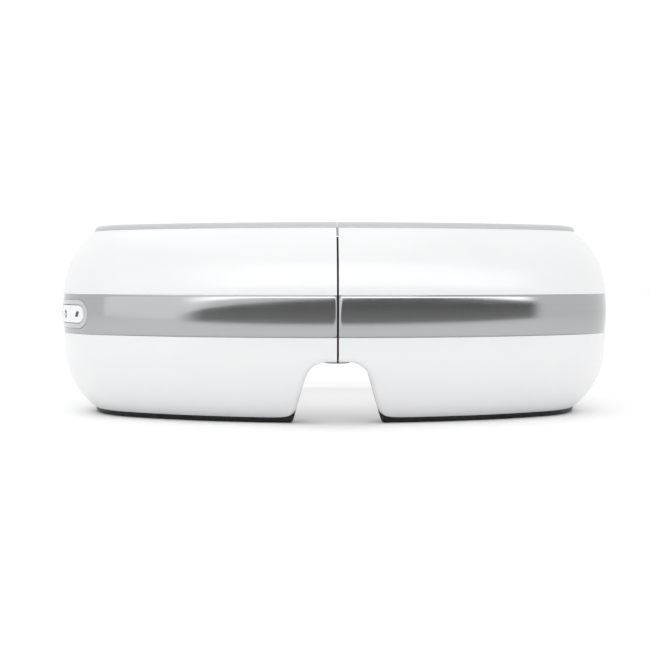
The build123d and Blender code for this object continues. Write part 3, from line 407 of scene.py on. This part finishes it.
def stitch_thread():
    paint = Paint("stitch thread", (0.05, 0.05, 0.055), 0.6, sheen_weight=0.3)
    _, _, height = paint.axes(paint.place())
    twist = (height + 0.4 * MM * paint.noise(1 * MM, 1)).wave(0.28 * MM)
    paint.set("Base Color", paint.mix(twist, (0.03, 0.03, 0.033), (0.1, 0.1, 0.108)))
    paint.set("Normal", paint.bump(twist, 0.03 * MM))
    return paint.material


def copper_film():
    paint = Paint("heater film", (0.5, 0.26, 0.12), 0.4, 0.6)
    _, _, z = paint.axes(paint.place())
    track = z.wave(2.2 * MM).between(0.45, 0.6)
    paint.set("Base Color", paint.mix(track, (0.35, 0.16, 0.05), (0.72, 0.4, 0.24)))
    paint.set("Metallic", track * 0.9)
    paint.set("Normal", paint.bump(track, 0.05 * MM))
    return paint.material


def milky_rubber(name, tone, size):
    """Milky soft plastic, whose clouds are about size metres across."""
    paint = Paint(name, tone, 0.4, subsurface_weight=0.2, subsurface_scale=0.002)
    cloud = paint.noise(size, 3)
    paint.set("Base Color", paint.mix(cloud, tuple(c * 0.88 for c in tone), tone))
    paint.set("Roughness", 0.32 + 0.2 * cloud)
    paint.set("Normal", paint.bump(cloud, 0.1 * MM))
    return paint.material


def circuit_board():
    paint = Paint("circuit board", (0.02, 0.16, 0.07), 0.35, coat_weight=0.4)
    _, _, z = paint.axes(paint.place())
    lanes = (z + 0.7 * MM * paint.noise(3 * MM, 0).between(0.48, 0.52)).wave(1.3 * MM).between(0.6, 0.72)
    pads = 1 - paint.cells(2.6 * MM).between(0.12, 0.16)
    lacquer = paint.mix(lanes, (0.012, 0.11, 0.05), (0.03, 0.2, 0.09))
    paint.set("Base Color", paint.mix(pads, lacquer, (0.75, 0.6, 0.3)))
    paint.set("Metallic", pads * 0.9)
    paint.set("Normal", paint.bump(lanes, 0.03 * MM))
    return paint.material


def foil_pouch():
    paint = Paint("battery foil", (0.6, 0.61, 0.64), 0.35, 0.7)
    crease = paint.cells(7 * MM, "DISTANCE_TO_EDGE").between(0, 0.1)
    paint.set("Roughness", 0.3 + 0.15 * paint.noise(2 * MM, 3))
    # darker along the creases: painted shade in the foil's folds
    paint.set("Base Color", paint.mix(crease, (0.48, 0.49, 0.52), (0.63, 0.64, 0.66)))
    paint.set("Normal", paint.bump(crease + paint.noise(3 * MM, 3), 0.06 * MM))
    return paint.material


def amber_film():
    paint = Paint("flexible circuit", (0.45, 0.2, 0.04), 0.3, coat_weight=0.3)
    _, _, z = paint.axes(paint.place())
    lanes = z.wave(1.0 * MM).between(0.55, 0.7)
    paint.set("Base Color", paint.mix(lanes, (0.42, 0.2, 0.04), (0.6, 0.35, 0.1)))
    return paint.material


def pump_plastic():
    paint = Paint("pump moulding", (0.7, 0.7, 0.67), 0.45)
    cloud = paint.noise(3 * MM, 3)
    paint.set("Base Color", paint.mix(cloud, (0.64, 0.64, 0.61), (0.74, 0.74, 0.71)))
    paint.set("Roughness", 0.4 + 0.12 * cloud)
    paint.set("Normal", paint.bump(paint.noise(0.4 * MM, 2), 0.01 * MM))
    return paint.material


FINISHES = {
    "shell_white": shell_white(),
    "band_plated": band_plated(),
    "shell_black": shell_black(),
    "bezel_grey": bezel_grey(),
    "button_white": button_white(),
    "hinge_black": black_moulding("hinge black", 0.01, 0.2 * MM, 0.34),
    "steel": plain_steel(),
    "pad_leather": pad_leather(),
    "bag_film": milky_rubber("air bag film", (0.6, 0.6, 0.58), 5 * MM),
    "heater_copper": copper_film(),
    "webbing": webbing(),
    "ring_black": black_moulding("ring black", 0.014, 0.3 * MM, 0.36),
    "pump_body": pump_plastic(),
    "rubber_dark": black_moulding("dark rubber", 0.025, 0.5 * MM, 0.6),
    "brass_part": plain_steel("brass", (0.66, 0.5, 0.22), 0.3),
    "hose_silicone": milky_rubber("silicone hose", (0.7, 0.7, 0.67), 2 * MM),
    "speaker_black": black_moulding("speaker black", 0.02, 0.4 * MM, 0.5),
    "mesh_black": plain_steel("mesh black", (0.05, 0.05, 0.053), 0.4),
    "battery_foil": foil_pouch(),
    "board_green": circuit_board(),
    "chip_black": black_moulding("chip black", 0.02, 0.3 * MM, 0.45),
    "film_amber": amber_film(),
}
EXTRA = {"mark": mark_grey(), "hook": hook_patch(), "thread": stitch_thread()}

for subpart in frame["record"]["subparts"]:
    node = nodes[subpart["node"]]
    node.data.materials.clear()
    node.data.materials.append(FINISHES[subpart["material_slot"]])


def dress(made, finish, body):
    """Gives a new piece its material and the body it rides on."""
    made.data.materials.clear()
    made.data.materials.append(FINISHES[finish] if finish in FINISHES else EXTRA[finish])
    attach(made, body)
    return made


# ---------------------------------------------------------------- plated bands
def window_half_height(angle):
    """Half the height of the panel's opening, which has half-round ends, at an angle round the corner."""
    half, radius = PANEL_LENGTH / 2 + PANEL_GAP, PANEL_HEIGHT / 2 + PANEL_GAP
    across = np.abs(R_CORNER * np.sin(angle - PANEL_MID))
    beyond = np.clip(across - (half - radius), 0, radius)
    height = np.sqrt(np.maximum(radius**2 - beyond**2, 0))
    on_corner = (angle > TURN) & (angle < np.pi / 2 + 0.01)
    return np.where((across < half) & on_corner, height, 0)


def plated_band(side, window):
    """A strip along the skin, whose crown falls off with the square of the height from its middle line."""
    end = np.pi / 2 + np.arccos((R_ROLL - PARTING) / R_ROLL)
    angle = np.linspace(SEAM_HALF / R_FRONT, end, 260)
    if window:
        reach = np.arcsin((PANEL_LENGTH / 2 + PANEL_GAP) / R_CORNER)
        dense = PANEL_MID - reach * np.cos(np.linspace(0, np.pi, 90))
        angle = np.sort(np.concatenate([angle, dense]))
    opening = window_half_height(angle) if window else np.zeros_like(angle)
    share = np.linspace(0, 1, 9)[:, None]
    points, faces, start = [], [], 0
    for way in (1, -1):
        level = way * (opening + (BAND_HEIGHT / 2 - opening) * share)
        bulge = BAND_CROWN * (1 - (level / (BAND_HEIGHT / 2)) ** 2)
        x, y = around(np.broadcast_to(angle, level.shape), -bulge)
        points.append(np.stack([x, y, Z_MID + BAND_RISE + level], axis=-1).reshape(-1, 3))
        quads = grid_faces(len(share), len(angle)) + start
        faces.append(quads if way == 1 else quads[:, ::-1])
        start += level.size
    made = piece("plated_band", np.concatenate(points), np.concatenate(faces), side)
    merge(made, TOUCHING)
    return solidify(made, BAND_T)


for side, half, window in ((1, "left", False), (-1, "right", True)):
    band = plated_band(side, window)
    band.name = f"plated_band_{half}"
    dress(band, "band_plated", f"{half}_half")
    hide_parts(f"trim_band_{half}")


# ---------------------------------------------------------------- marks printed on the buttons
MARK_T = 0.04 * MM
MARK_LIFT = 0.02 * MM

# each button's angle round the corner, from the way in which it is pressed
BUTTONS = {}
for name in ("mode", "power", "sound"):
    press = joints[f"{name}_press"]["axis"]
    BUTTONS[name] = np.arctan2(press[0], press[1])


def on_button(place, across, up):
    """Points on a button's face: across runs round the corner towards the arm's end, up is height."""
    x, y = around(place + across / R_CORNER, -BUTTON_PROUD - MARK_LIFT)
    return np.stack([x, y, Z_MID + BAND_RISE + up], axis=-1)


def mark(name, place, across, up, body):
    """A printed mark: a grid of points laid on a button's face."""
    made = piece(name, on_button(place, across, up), grid_faces(*across.shape), -1)
    facing = made.data.polygons[0].normal
    outward = Vector((-np.sin(place), -np.cos(place), 0))
    if facing.dot(outward) < 0:
        made.data.flip_normals()
    solidify(made, MARK_T, 1.0)
    return dress(made, "mark", body)


turn = np.linspace(np.radians(-235), np.radians(55), 49)[None, :]
ring = np.linspace(1.05, 1.5, 3)[:, None] * MM
mark("mark_power_ring", BUTTONS["power"], ring * np.cos(turn), ring * np.sin(turn) - 0.15 * MM, "power_key")
wide, tall = np.meshgrid(np.linspace(-0.22, 0.22, 3) * MM, np.linspace(0.1, 1.6, 6) * MM)
mark("mark_power_bar", BUTTONS["power"], wide, tall, "power_key")
wide, tall = np.meshgrid(np.linspace(-1.9, 0.1, 7) * MM, np.linspace(-1, 1, 7) * MM)
mark("mark_mode", BUTTONS["mode"], wide - 0.5 * tall, tall, "mode_key")
wide, tall = np.meshgrid(np.linspace(-1, 0.1, 7) * MM, np.linspace(-1, 1, 7))
flare = 0.35 * MM + 0.65 * np.clip(wide + 0.5 * MM, 0, 1)
mark("mark_sound_horn", BUTTONS["sound"], wide, tall * flare, "sound_key")
turn = np.linspace(np.radians(-50), np.radians(50), 15)[None, :]
for number, radius in enumerate((0.85, 1.45)):
    ring = (radius + np.linspace(-0.13, 0.13, 3)[:, None]) * MM
    mark(f"mark_sound_wave_{number}", BUTTONS["sound"], ring * np.cos(turn), ring * np.sin(turn), "sound_key")


# ---------------------------------------------------------------- face pads
PAD_VOXEL = 1.3 * MM
PAD_HELD = BACK + 3.8 * MM
PAD_PUFF = 0.9 * MM
PAD_STEPS = 12
CHANNEL = (EYE_RING[0] / 2 + 3 * MM, EYE_RING[1] / 2 + 3 * MM)
CHANNEL_DEPTH = 0.7 * MM
EYE_CHANNEL_WIDTH = 1.1 * MM
TEMPLE_CHANNEL = np.radians(44)
TEMPLE_CHANNEL_RADIUS = 22 * MM
TEMPLE_CHANNEL_WIDTH = 1.0 * MM
EYE_STITCHES = 84
EYE_STITCH = (1.15 * MM, 0.42 * MM)
SQUARE_ON = 0.72  # least cosine between a stitch's place and the line of sight down the eye's axis
EYE_INWARD = np.array((-np.sin(EYE_ANGLE), np.cos(EYE_ANGLE), 0))
EYE_ACROSS = np.array((np.cos(EYE_ANGLE), np.sin(EYE_ANGLE), 0))
UPWARD = np.array((0, 0, 1))


def skin_depth(points):
    """Depth of points behind the front skin, from the arc that each faces, on the +X side."""
    x, y = np.abs(points[:, 0]), points[:, 1]
    to_front = np.hypot(x, FRONT + R_FRONT - y)
    to_corner = np.hypot(x - CORNER_X, CORNER_Y - y)
    front = np.arctan2(x, FRONT + R_FRONT - y) < TURN
    return np.where(front, R_FRONT - to_front, R_CORNER - to_corner)


def mesh_points(made):
    """A piece's points, one row each."""
    flat = np.empty(len(made.data.vertices) * 3)
    made.data.vertices.foreach_get("co", flat)
    return flat.reshape(-1, 3)


def blow_up(made):
    """Blows a pad up as a cloth under pressure, held where it meets the shell. No point moves over PAD_PUFF."""
    start = mesh_points(made)
    held = made.vertex_groups.new(name="held")
    held.add(np.flatnonzero(skin_depth(start) < PAD_HELD).tolist(), 1.0, "REPLACE")
    cloth = made.modifiers.new("cloth", "CLOTH")
    cloth.settings.use_pressure = True
    cloth.settings.uniform_pressure_force = 4
    cloth.settings.effector_weights.gravity = 0
    cloth.settings.vertex_group_mass = "held"
    cloth.settings.quality = 4
    cloth.settings.tension_stiffness = 25
    cloth.settings.bending_stiffness = 0.6
    scene = bpy.context.scene
    for step in range(1, PAD_STEPS + 1):
        scene.frame_set(step)
    apply_all(made)
    scene.frame_set(1)
    move = mesh_points(made) - start
    length = np.linalg.norm(move, axis=1, keepdims=True)
    move *= np.minimum(1, PAD_PUFF / np.maximum(length, 1e-9))
    made.data.vertices.foreach_set("co", (start + move).ravel())


def sew_channels(made, side):
    """Presses in the leather where it is sewn: round the eye opening and across the temple."""
    points = mesh_points(made)
    across, up = eye_place(points * (side, 1, 1))
    ring = np.abs(np.hypot(across / CHANNEL[0], up / CHANNEL[1]) - 1) * EYE_RING[0] / 2
    facing = skin_depth(points) > PAD_FAR - 2.2 * MM
    dent = CHANNEL_DEPTH * np.exp(-((ring / EYE_CHANNEL_WIDTH) ** 2)) * facing
    angle = np.arctan2(np.abs(points[:, 0]) - CORNER_X, CORNER_Y - points[:, 1])
    temple = np.abs(angle - TEMPLE_CHANNEL) * TEMPLE_CHANNEL_RADIUS
    dent += CHANNEL_DEPTH * np.exp(-((temple / TEMPLE_CHANNEL_WIDTH) ** 2)) * facing * (angle > TURN)
    normals = np.empty(len(points) * 3)
    made.data.vertices.foreach_get("normal", normals)
    made.data.vertices.foreach_set("co", (points - normals.reshape(-1, 3) * dent[:, None]).ravel())


def stuffed_pad(half):
    """The pad as leather over foam: one skin, softened, blown up and sewn."""
    source = nodes[f"face_pad_{half}"]
    made = bpy.data.objects.new(f"leather_pad_{half}", source.data.copy())
    bpy.context.scene.collection.objects.link(made)
    merge(made, 1e-5)
    remesh = made.modifiers.new("skin", "REMESH")
    remesh.mode = "VOXEL"
    remesh.voxel_size = PAD_VOXEL
    apply_all(made)
    relax = made.modifiers.new("soften", "SMOOTH")
    relax.factor, relax.iterations = 0.5, 6
    apply_all(made)
    blow_up(made)
    made.vertex_groups.clear()
    sew_channels(made, 1 if half == "left" else -1)
    made.data.polygons.foreach_set("use_smooth", [True] * len(made.data.polygons))
    smooth = made.modifiers.new("finer", "SUBSURF")
    smooth.levels = smooth.render_levels = 1
    return made


def eye_place(points):
    """Distances across and up from the eye's axis, on the +X side."""
    x, y = points[:, 0], points[:, 1] - (FRONT + R_FRONT)
    across = x * np.cos(EYE_ANGLE) + y * np.sin(EYE_ANGLE)
    return across, points[:, 2] - Z_MID


def stitches(name, places, ways, long, thick, body, slot="pad_leather"):
    """Short threads: each is a rounded rod, thicker in the middle, along its way."""
    rings, corners = 7, 6
    places, ways = np.array(places), np.array(ways)
    ways = ways / np.linalg.norm(ways, axis=1, keepdims=True)
    reach = np.linspace(-1, 1, rings)[:, None]
    girth = np.sqrt(1 - 0.96 * reach**2)
    turn = np.linspace(0, 2 * np.pi, corners, endpoint=False)[None, :]
    side = np.cross(ways, (0.3, 0.2, 0.93))
    side /= np.linalg.norm(side, axis=1, keepdims=True)
    other = np.cross(ways, side)
    rod = (
        places[:, None, None, :]
        + ways[:, None, None, :] * (reach * long / 2 + 0 * turn)[None, :, :, None]
        + side[:, None, None, :] * (girth * np.cos(turn) * thick / 2)[None, :, :, None]
        + other[:, None, None, :] * (girth * np.sin(turn) * thick / 2)[None, :, :, None]
    )
    near_cap = np.array([[0, 5, 4, 3], [0, 3, 2, 1]])
    far_cap = np.array([[0, 1, 2, 3], [0, 3, 4, 5]]) + (rings - 1) * corners
    one = np.concatenate([grid_faces(rings, corners, closed=True), near_cap, far_cap])
    faces = (one[None] + (np.arange(len(places)) * rings * corners)[:, None, None]).reshape(-1, 4)
    made = piece(name, rod.reshape(-1, 3), faces)
    face_outwards(made)
    return dress(made, "thread", body)


def eye_cover(side):
    """The thin cover over the heating film: an ellipse bent with the front, and bulging in its middle."""
    rings, corners = 16, 64
    bulge, lap = 0.5 * MM, 1.2 * MM
    share = np.linspace(0, 1, rings)[:, None]
    turn = np.linspace(0, 2 * np.pi, corners, endpoint=False)[None, :]
    depth = EYE_COVER_DEPTH + bulge * (1 - share**2) + 0 * turn
    across = (EYE_HOLE[0] / 2 + lap) * share * np.cos(turn)
    up = (EYE_HOLE[1] / 2 + lap) * share * np.sin(turn)
    x, y = around(EYE_ANGLE + across / (R_FRONT - depth), depth)
    faces = grid_faces(rings, corners, closed=True)
    made = piece("eye_cover", np.stack([x, y, Z_MID + up], axis=-1), faces, side)
    merge(made, TOUCHING)
    return solidify(made, 0.3 * MM)


def eye_stitches(pad, side, half):
    """Stitches along the eye's sewn channel, each laid on the pad by a ray down the eye's axis."""
    bpy.context.view_layer.update()
    tree = BVHTree.FromObject(pad, bpy.context.evaluated_depsgraph_get())
    turn = np.linspace(0, 2 * np.pi, EYE_STITCHES, endpoint=False)
    across = CHANNEL[0] * np.cos(turn)
    up = CHANNEL[1] * np.sin(turn)
    middle = np.array((0, FRONT + R_FRONT, Z_MID))
    base = middle + across[:, None] * EYE_ACROSS + np.stack([0 * up, 0 * up, up], axis=1)
    way = Vector((-EYE_INWARD) * (side, 1, 1))
    found, ways = [], []
    for number, spot in enumerate(base):
        begin = Vector((spot - EYE_INWARD * 100 * MM) * (side, 1, 1))
        hit, normal, _, _ = tree.ray_cast(begin, way, 80 * MM)
        if hit is None or abs(normal.dot(way)) < SQUARE_ON:
            continue
        found.append(np.array(hit) + np.array(normal) * 0.1 * MM)
        tangent = -np.sin(turn[number]) * EYE_ACROSS + np.cos(turn[number]) * UPWARD
        ways.append(tangent * (side, 1, 1))
    stitches(f"eye_stitches_{half}", found, ways, *EYE_STITCH, f"{half}_half")


for side, half in ((1, "left"), (-1, "right")):
    pad = stuffed_pad(half)
    dress(pad, "pad_leather", f"{half}_half")
    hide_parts(f"face_pad_{half}")
    cover = eye_cover(side)
    cover.name = f"eye_cover_{half}"
    dress(cover, "pad_leather", f"{half}_half")
    eye_stitches(pad, side, half)


# ---------------------------------------------------------------- headband
START = np.arctan2(ANCHOR[1] - STRAP_Y, ANCHOR[0])
BAR_ANGLE = np.pi / 2 - RING_SPAN / STRAP_R
PIN_TAIL = 13 * MM
LAP = STRAP_T + 0.05 * MM  # between the middles of two layers that are sewn together
TAIL_EASE = 7 * MM
RUN_EASE = 8 * MM


def ease(distance, reach):
    """A smooth fall from 1 to 0 over a reach."""
    return 0.5 + 0.5 * np.cos(np.pi * np.clip(distance / reach, 0, 1))


def on_arc(angle, offset):
    """Plan points at an offset outside the headband's arc."""
    radius = STRAP_R + offset
    return np.stack([radius * np.cos(angle), STRAP_Y + radius * np.sin(angle)], axis=-1)


def wrap(angle, radius, first, last):
    """Plan points of a turn round a bar that stands on the arc, without its two ends."""
    centre = on_arc(np.array([angle]), 0)[0]
    turn = np.linspace(first, last, 25)[1:-1] + angle
    return centre + radius * np.stack([np.cos(turn), np.sin(turn)], axis=-1)


def webbing_line(end_angle, fold_back, tail):
    """The webbing's plan line: round the strap pin, along the arc, round the bar at end_angle and back.

    fold_back is 1 where the tail comes back outside the arc and -1 where it comes back inside.
    """
    inner_tail = np.linspace(START + PIN_TAIL / STRAP_R, START, 30)
    from_pin = ease((inner_tail - START) * STRAP_R, TAIL_EASE)
    run = np.linspace(START, end_angle, 220)
    off_pin = PIN_WRAP * ease((run - START) * STRAP_R, RUN_EASE)
    onto_bar = fold_back * BAR_WRAP * ease((end_angle - run) * STRAP_R, RUN_EASE)
    outer_tail = np.linspace(end_angle, end_angle - tail / STRAP_R, 40)
    from_bar = ease((end_angle - outer_tail) * STRAP_R, TAIL_EASE)
    return np.concatenate(
        [
            on_arc(inner_tail, -LAP - (PIN_WRAP - LAP) * from_pin),
            wrap(START, PIN_WRAP, -np.pi, -2 * np.pi),
            on_arc(run, off_pin - onto_bar),
            wrap(end_angle, BAR_WRAP, *((np.pi, 0) if fold_back > 0 else (0, np.pi))),
            on_arc(outer_tail, fold_back * (LAP + (BAR_WRAP - LAP) * from_bar)),
        ]
    )


def webbing_run(name, end_angle, fold_back, tail, body):
    """Elastic webbing along its plan line; its section is a flat rounded oval."""
    line = webbing_line(end_angle, fold_back, tail)
    keep = np.concatenate([[True], np.linalg.norm(np.diff(line, axis=0), axis=1) > 0.02 * MM])
    line = line[keep]
    way = np.gradient(line, axis=0)
    way /= np.linalg.norm(way, axis=1, keepdims=True)
    normal = np.stack([way[:, 1], -way[:, 0]], axis=-1)
    length = np.concatenate([[0], np.cumsum(np.linalg.norm(np.diff(line, axis=0), axis=1))])
    turn = np.linspace(0, 2 * np.pi, 28, endpoint=False)
    thick = np.sign(np.cos(turn)) * np.abs(np.cos(turn)) ** 0.35 * (STRAP_T - 0.1 * MM) / 2
    tall = np.sign(np.sin(turn)) * np.abs(np.sin(turn)) ** 0.8 * STRAP_HEIGHT / 2
    plan = line[:, None, :] + normal[:, None, :] * thick[None, :, None]
    height = np.broadcast_to(Z_MID + tall, (len(line), len(turn)))
    points = np.concatenate([plan, height[:, :, None]], axis=-1)
    faces = grid_faces(len(line), len(turn), closed=True)
    uv = np.stack(np.broadcast_arrays(length[:, None], tall[None, :]), axis=-1)
    last = (len(line) - 1) * len(turn)
    half = len(turn) // 2
    strips = np.array([[k, k + 1, len(turn) - 2 - k, len(turn) - 1 - k] for k in range(half - 1)])
    faces = np.concatenate([faces, strips, strips[:, ::-1] + last])
    made = piece(name, points, faces, 1 if body == "strap_left_end" else -1, uv)
    face_outwards(made)
    return made


band_left = webbing_run("webbing_left", np.pi / 2, 1, 26 * MM, "strap_left_end")
dress(band_left, "webbing", "strap_left_end")
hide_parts("strap_left")
band_right = webbing_run("webbing_right", BAR_ANGLE, -1, 13 * MM, "strap_right_end")
dress(band_right, "webbing", "strap_right_end")
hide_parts("strap_right")


def pull_tab():
    """A soft tab sewn on the folded-back end: a sheet along the arc, whose round free end lifts a little."""
    rows, columns = 40, 21
    first = np.pi / 2 - 15 * MM / STRAP_R
    last = np.pi / 2 - 30 * MM / STRAP_R
    share = np.linspace(0, 1, rows)[:, None]
    rise = np.linspace(-1, 1, columns)[None, :]
    half = STRAP_HEIGHT / 2 - 1 * MM
    width = half * np.sqrt(np.clip(1 - np.clip((share - 0.55) / 0.45, 0, 0.985) ** 2, 0, 1))
    angle = first + (last - first) * share + 0 * rise
    lift = STRAP_T * 1.5 + 0.55 * MM + 1.2 * MM * np.clip(share - 0.6, 0, 1) ** 2 / 0.16
    radius = STRAP_R + lift + 0 * rise
    points = np.stack([radius * np.cos(angle), STRAP_Y + radius * np.sin(angle), Z_MID + width * rise], axis=-1)
    uv = np.stack(np.broadcast_arrays((first - angle) * STRAP_R, width * rise), axis=-1)
    made = piece("pull_tab", points, grid_faces(rows, columns), None, uv)
    return solidify(made, 0.9 * MM, 0.0)


tab = pull_tab()
dress(tab, "hook", "strap_left_end")
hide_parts("hook_tab")


def seam_rows(name, from_end, side, body, end_angle, offset):
    """Two rows of upright stitches across the webbing where it is sewn back on itself."""
    gap = 1.6 * MM
    places, ways = [], []
    rows = np.linspace(-STRAP_HEIGHT / 2 + 2 * MM, STRAP_HEIGHT / 2 - 2 * MM, 13)
    for row in range(2):
        angle = end_angle + (from_end + row * gap) / STRAP_R
        radius = STRAP_R + offset
        for height in rows:
            places.append((side * radius * np.cos(angle), STRAP_Y + radius * np.sin(angle), Z_MID + height))
            ways.append((0.25 * side * np.sin(angle), -0.25 * np.cos(angle), 1.0))
    stitches(name, places, ways, 1.6 * MM, 0.45 * MM, body, slot="webbing")


face = STRAP_T / 2 - 0.02 * MM
seam_rows("seam_pin_left", 9 * MM, 1, "strap_left_end", START, face)
seam_rows("seam_pin_right", 9 * MM, -1, "strap_right_end", START, face)
seam_rows("seam_ring_right", -10.6 * MM, -1, "strap_right_end", BAR_ANGLE, face)
seam_rows("seam_tab_left", -14.4 * MM, 1, "strap_left_end", np.pi / 2, STRAP_T * 1.5 + 0.08 * MM)


# ---------------------------------------------------------------- stage, light and camera
def glow_card(name, x, low, high, near, tones, fade):
    """A sheet before the mask that shines by itself, for the plated band to reflect.

    Its bottom and top edges pass through the heights low and high at the positions x, and it stands at
    y = near. tones are its brightness at the bottom and at the top, and fade is how far its ends fade out.
    """
    rows, columns = 3, 61
    across = np.linspace(x[0], x[-1], columns)[None, :]
    share = np.linspace(0, 1, rows)[:, None]
    floor, top = np.interp(across, x, low), np.interp(across, x, high)
    z = floor + (top - floor) * share
    made = piece(name, np.stack([across + 0 * z, near + 0 * z, z], axis=-1), grid_faces(rows, columns))
    paint = Paint(name, (0, 0, 0), 1, specular_ior_level=0.0, emission_strength=1.0)
    side, _, height = paint.axes(paint.place())
    bottom_tone, top_tone = ((tone, tone, tone) for tone in tones)
    paint.set("Emission Color", paint.mix(height.between(min(low), max(high)), bottom_tone, top_tone))
    paint.set("Alpha", side.between(x[0], x[0] + fade) * (1 - side.between(x[-1] - fade, x[-1])))
    made.data.materials.append(paint.material)
    made.visible_camera = False
    made.visible_diffuse = False
    made.visible_shadow = False


def studio_floor():
    reach, lines = 6, 5
    paint = Paint("studio floor", (0.97, 0.97, 0.97), 0.85, specular_ior_level=0.1)
    paint.set("Base Color", paint.mix(paint.noise(0.4, 3), (0.965, 0.965, 0.965), (0.975, 0.975, 0.975)))
    edge = np.linspace(-reach, reach, lines)
    x, y = np.meshgrid(edge, edge)
    made = piece("floor", np.stack([x, y, 0 * x], axis=-1), grid_faces(lines, lines))
    made.data.materials.append(paint.material)


studio_floor()

CARD_X = (-0.42, -0.3, -0.2, -0.12, 0, 0.2, 0.42, 0.75)
BOARD_LOW = (0,) * 8
BOARD_HIGH = (0.02, 0.06, 0.077, 0.086, 0.097, 0.114, 0.114, 0.11)
STRIP_LOW = (0.08, 0.1, 0.11, 0.115, 0.115, 0.118, 0.118, 0.118)
STRIP_HIGH = (0.4,) * 8
glow_card("dark_board", CARD_X, BOARD_LOW, BOARD_HIGH, FRONT - 0.314, (0.3, 0.14), 0.13)
glow_card("bright_strip", CARD_X, STRIP_LOW, STRIP_HIGH, FRONT - 0.33, (3.2, 2.4), 0.2)
glow_card("left_card", (-1.4, -0.3), (0, 0), (0.6, 0.6), FRONT - 0.4, (1.3, 1.45), 0.1)


def soft_light(name, place, aim, size, power):
    """A rectangular lamp at a place, turned towards an aim."""
    light = bpy.data.lights.new(name, "AREA")
    light.shape = "RECTANGLE"
    light.size, light.size_y = size
    light.energy = power
    made = bpy.data.objects.new(name, light)
    made.location = place
    made.rotation_euler = (Vector(aim) - Vector(place)).to_track_quat("-Z", "Y").to_euler()
    bpy.context.scene.collection.objects.link(made)


soft_light("overhead", (-0.15, -0.05, 0.9), (0, -0.03, 0), (1.2, 0.9), 1.9)

world = bpy.data.worlds.new("studio")
bpy.context.scene.world = world
world.use_nodes = True
background = world.node_tree.nodes["Background"].inputs
background["Color"].default_value = (1, 1, 1, 1)
background["Strength"].default_value = 1.03

EYE_DISTANCE = 440 * MM
EYE_SIDE = -9 * MM
EYE_HEIGHT = 52 * MM
LOOK_DOWN = 2.12
LOOK_ASIDE = -0.585
SENSOR = 36
camera = bpy.data.cameras.new("camera")
camera.sensor_width = SENSOR
camera.lens = SENSOR * 1267 / 650
camera_object = bpy.data.objects.new("camera", camera)
camera_object.location = (EYE_SIDE, FRONT - EYE_DISTANCE, EYE_HEIGHT)
camera_object.rotation_euler = (np.radians(90 - LOOK_DOWN), 0, np.radians(LOOK_ASIDE))
bpy.context.scene.collection.objects.link(camera_object)
bpy.context.scene.camera = camera_object
bpy.context.scene.view_settings.view_transform = "Standard"
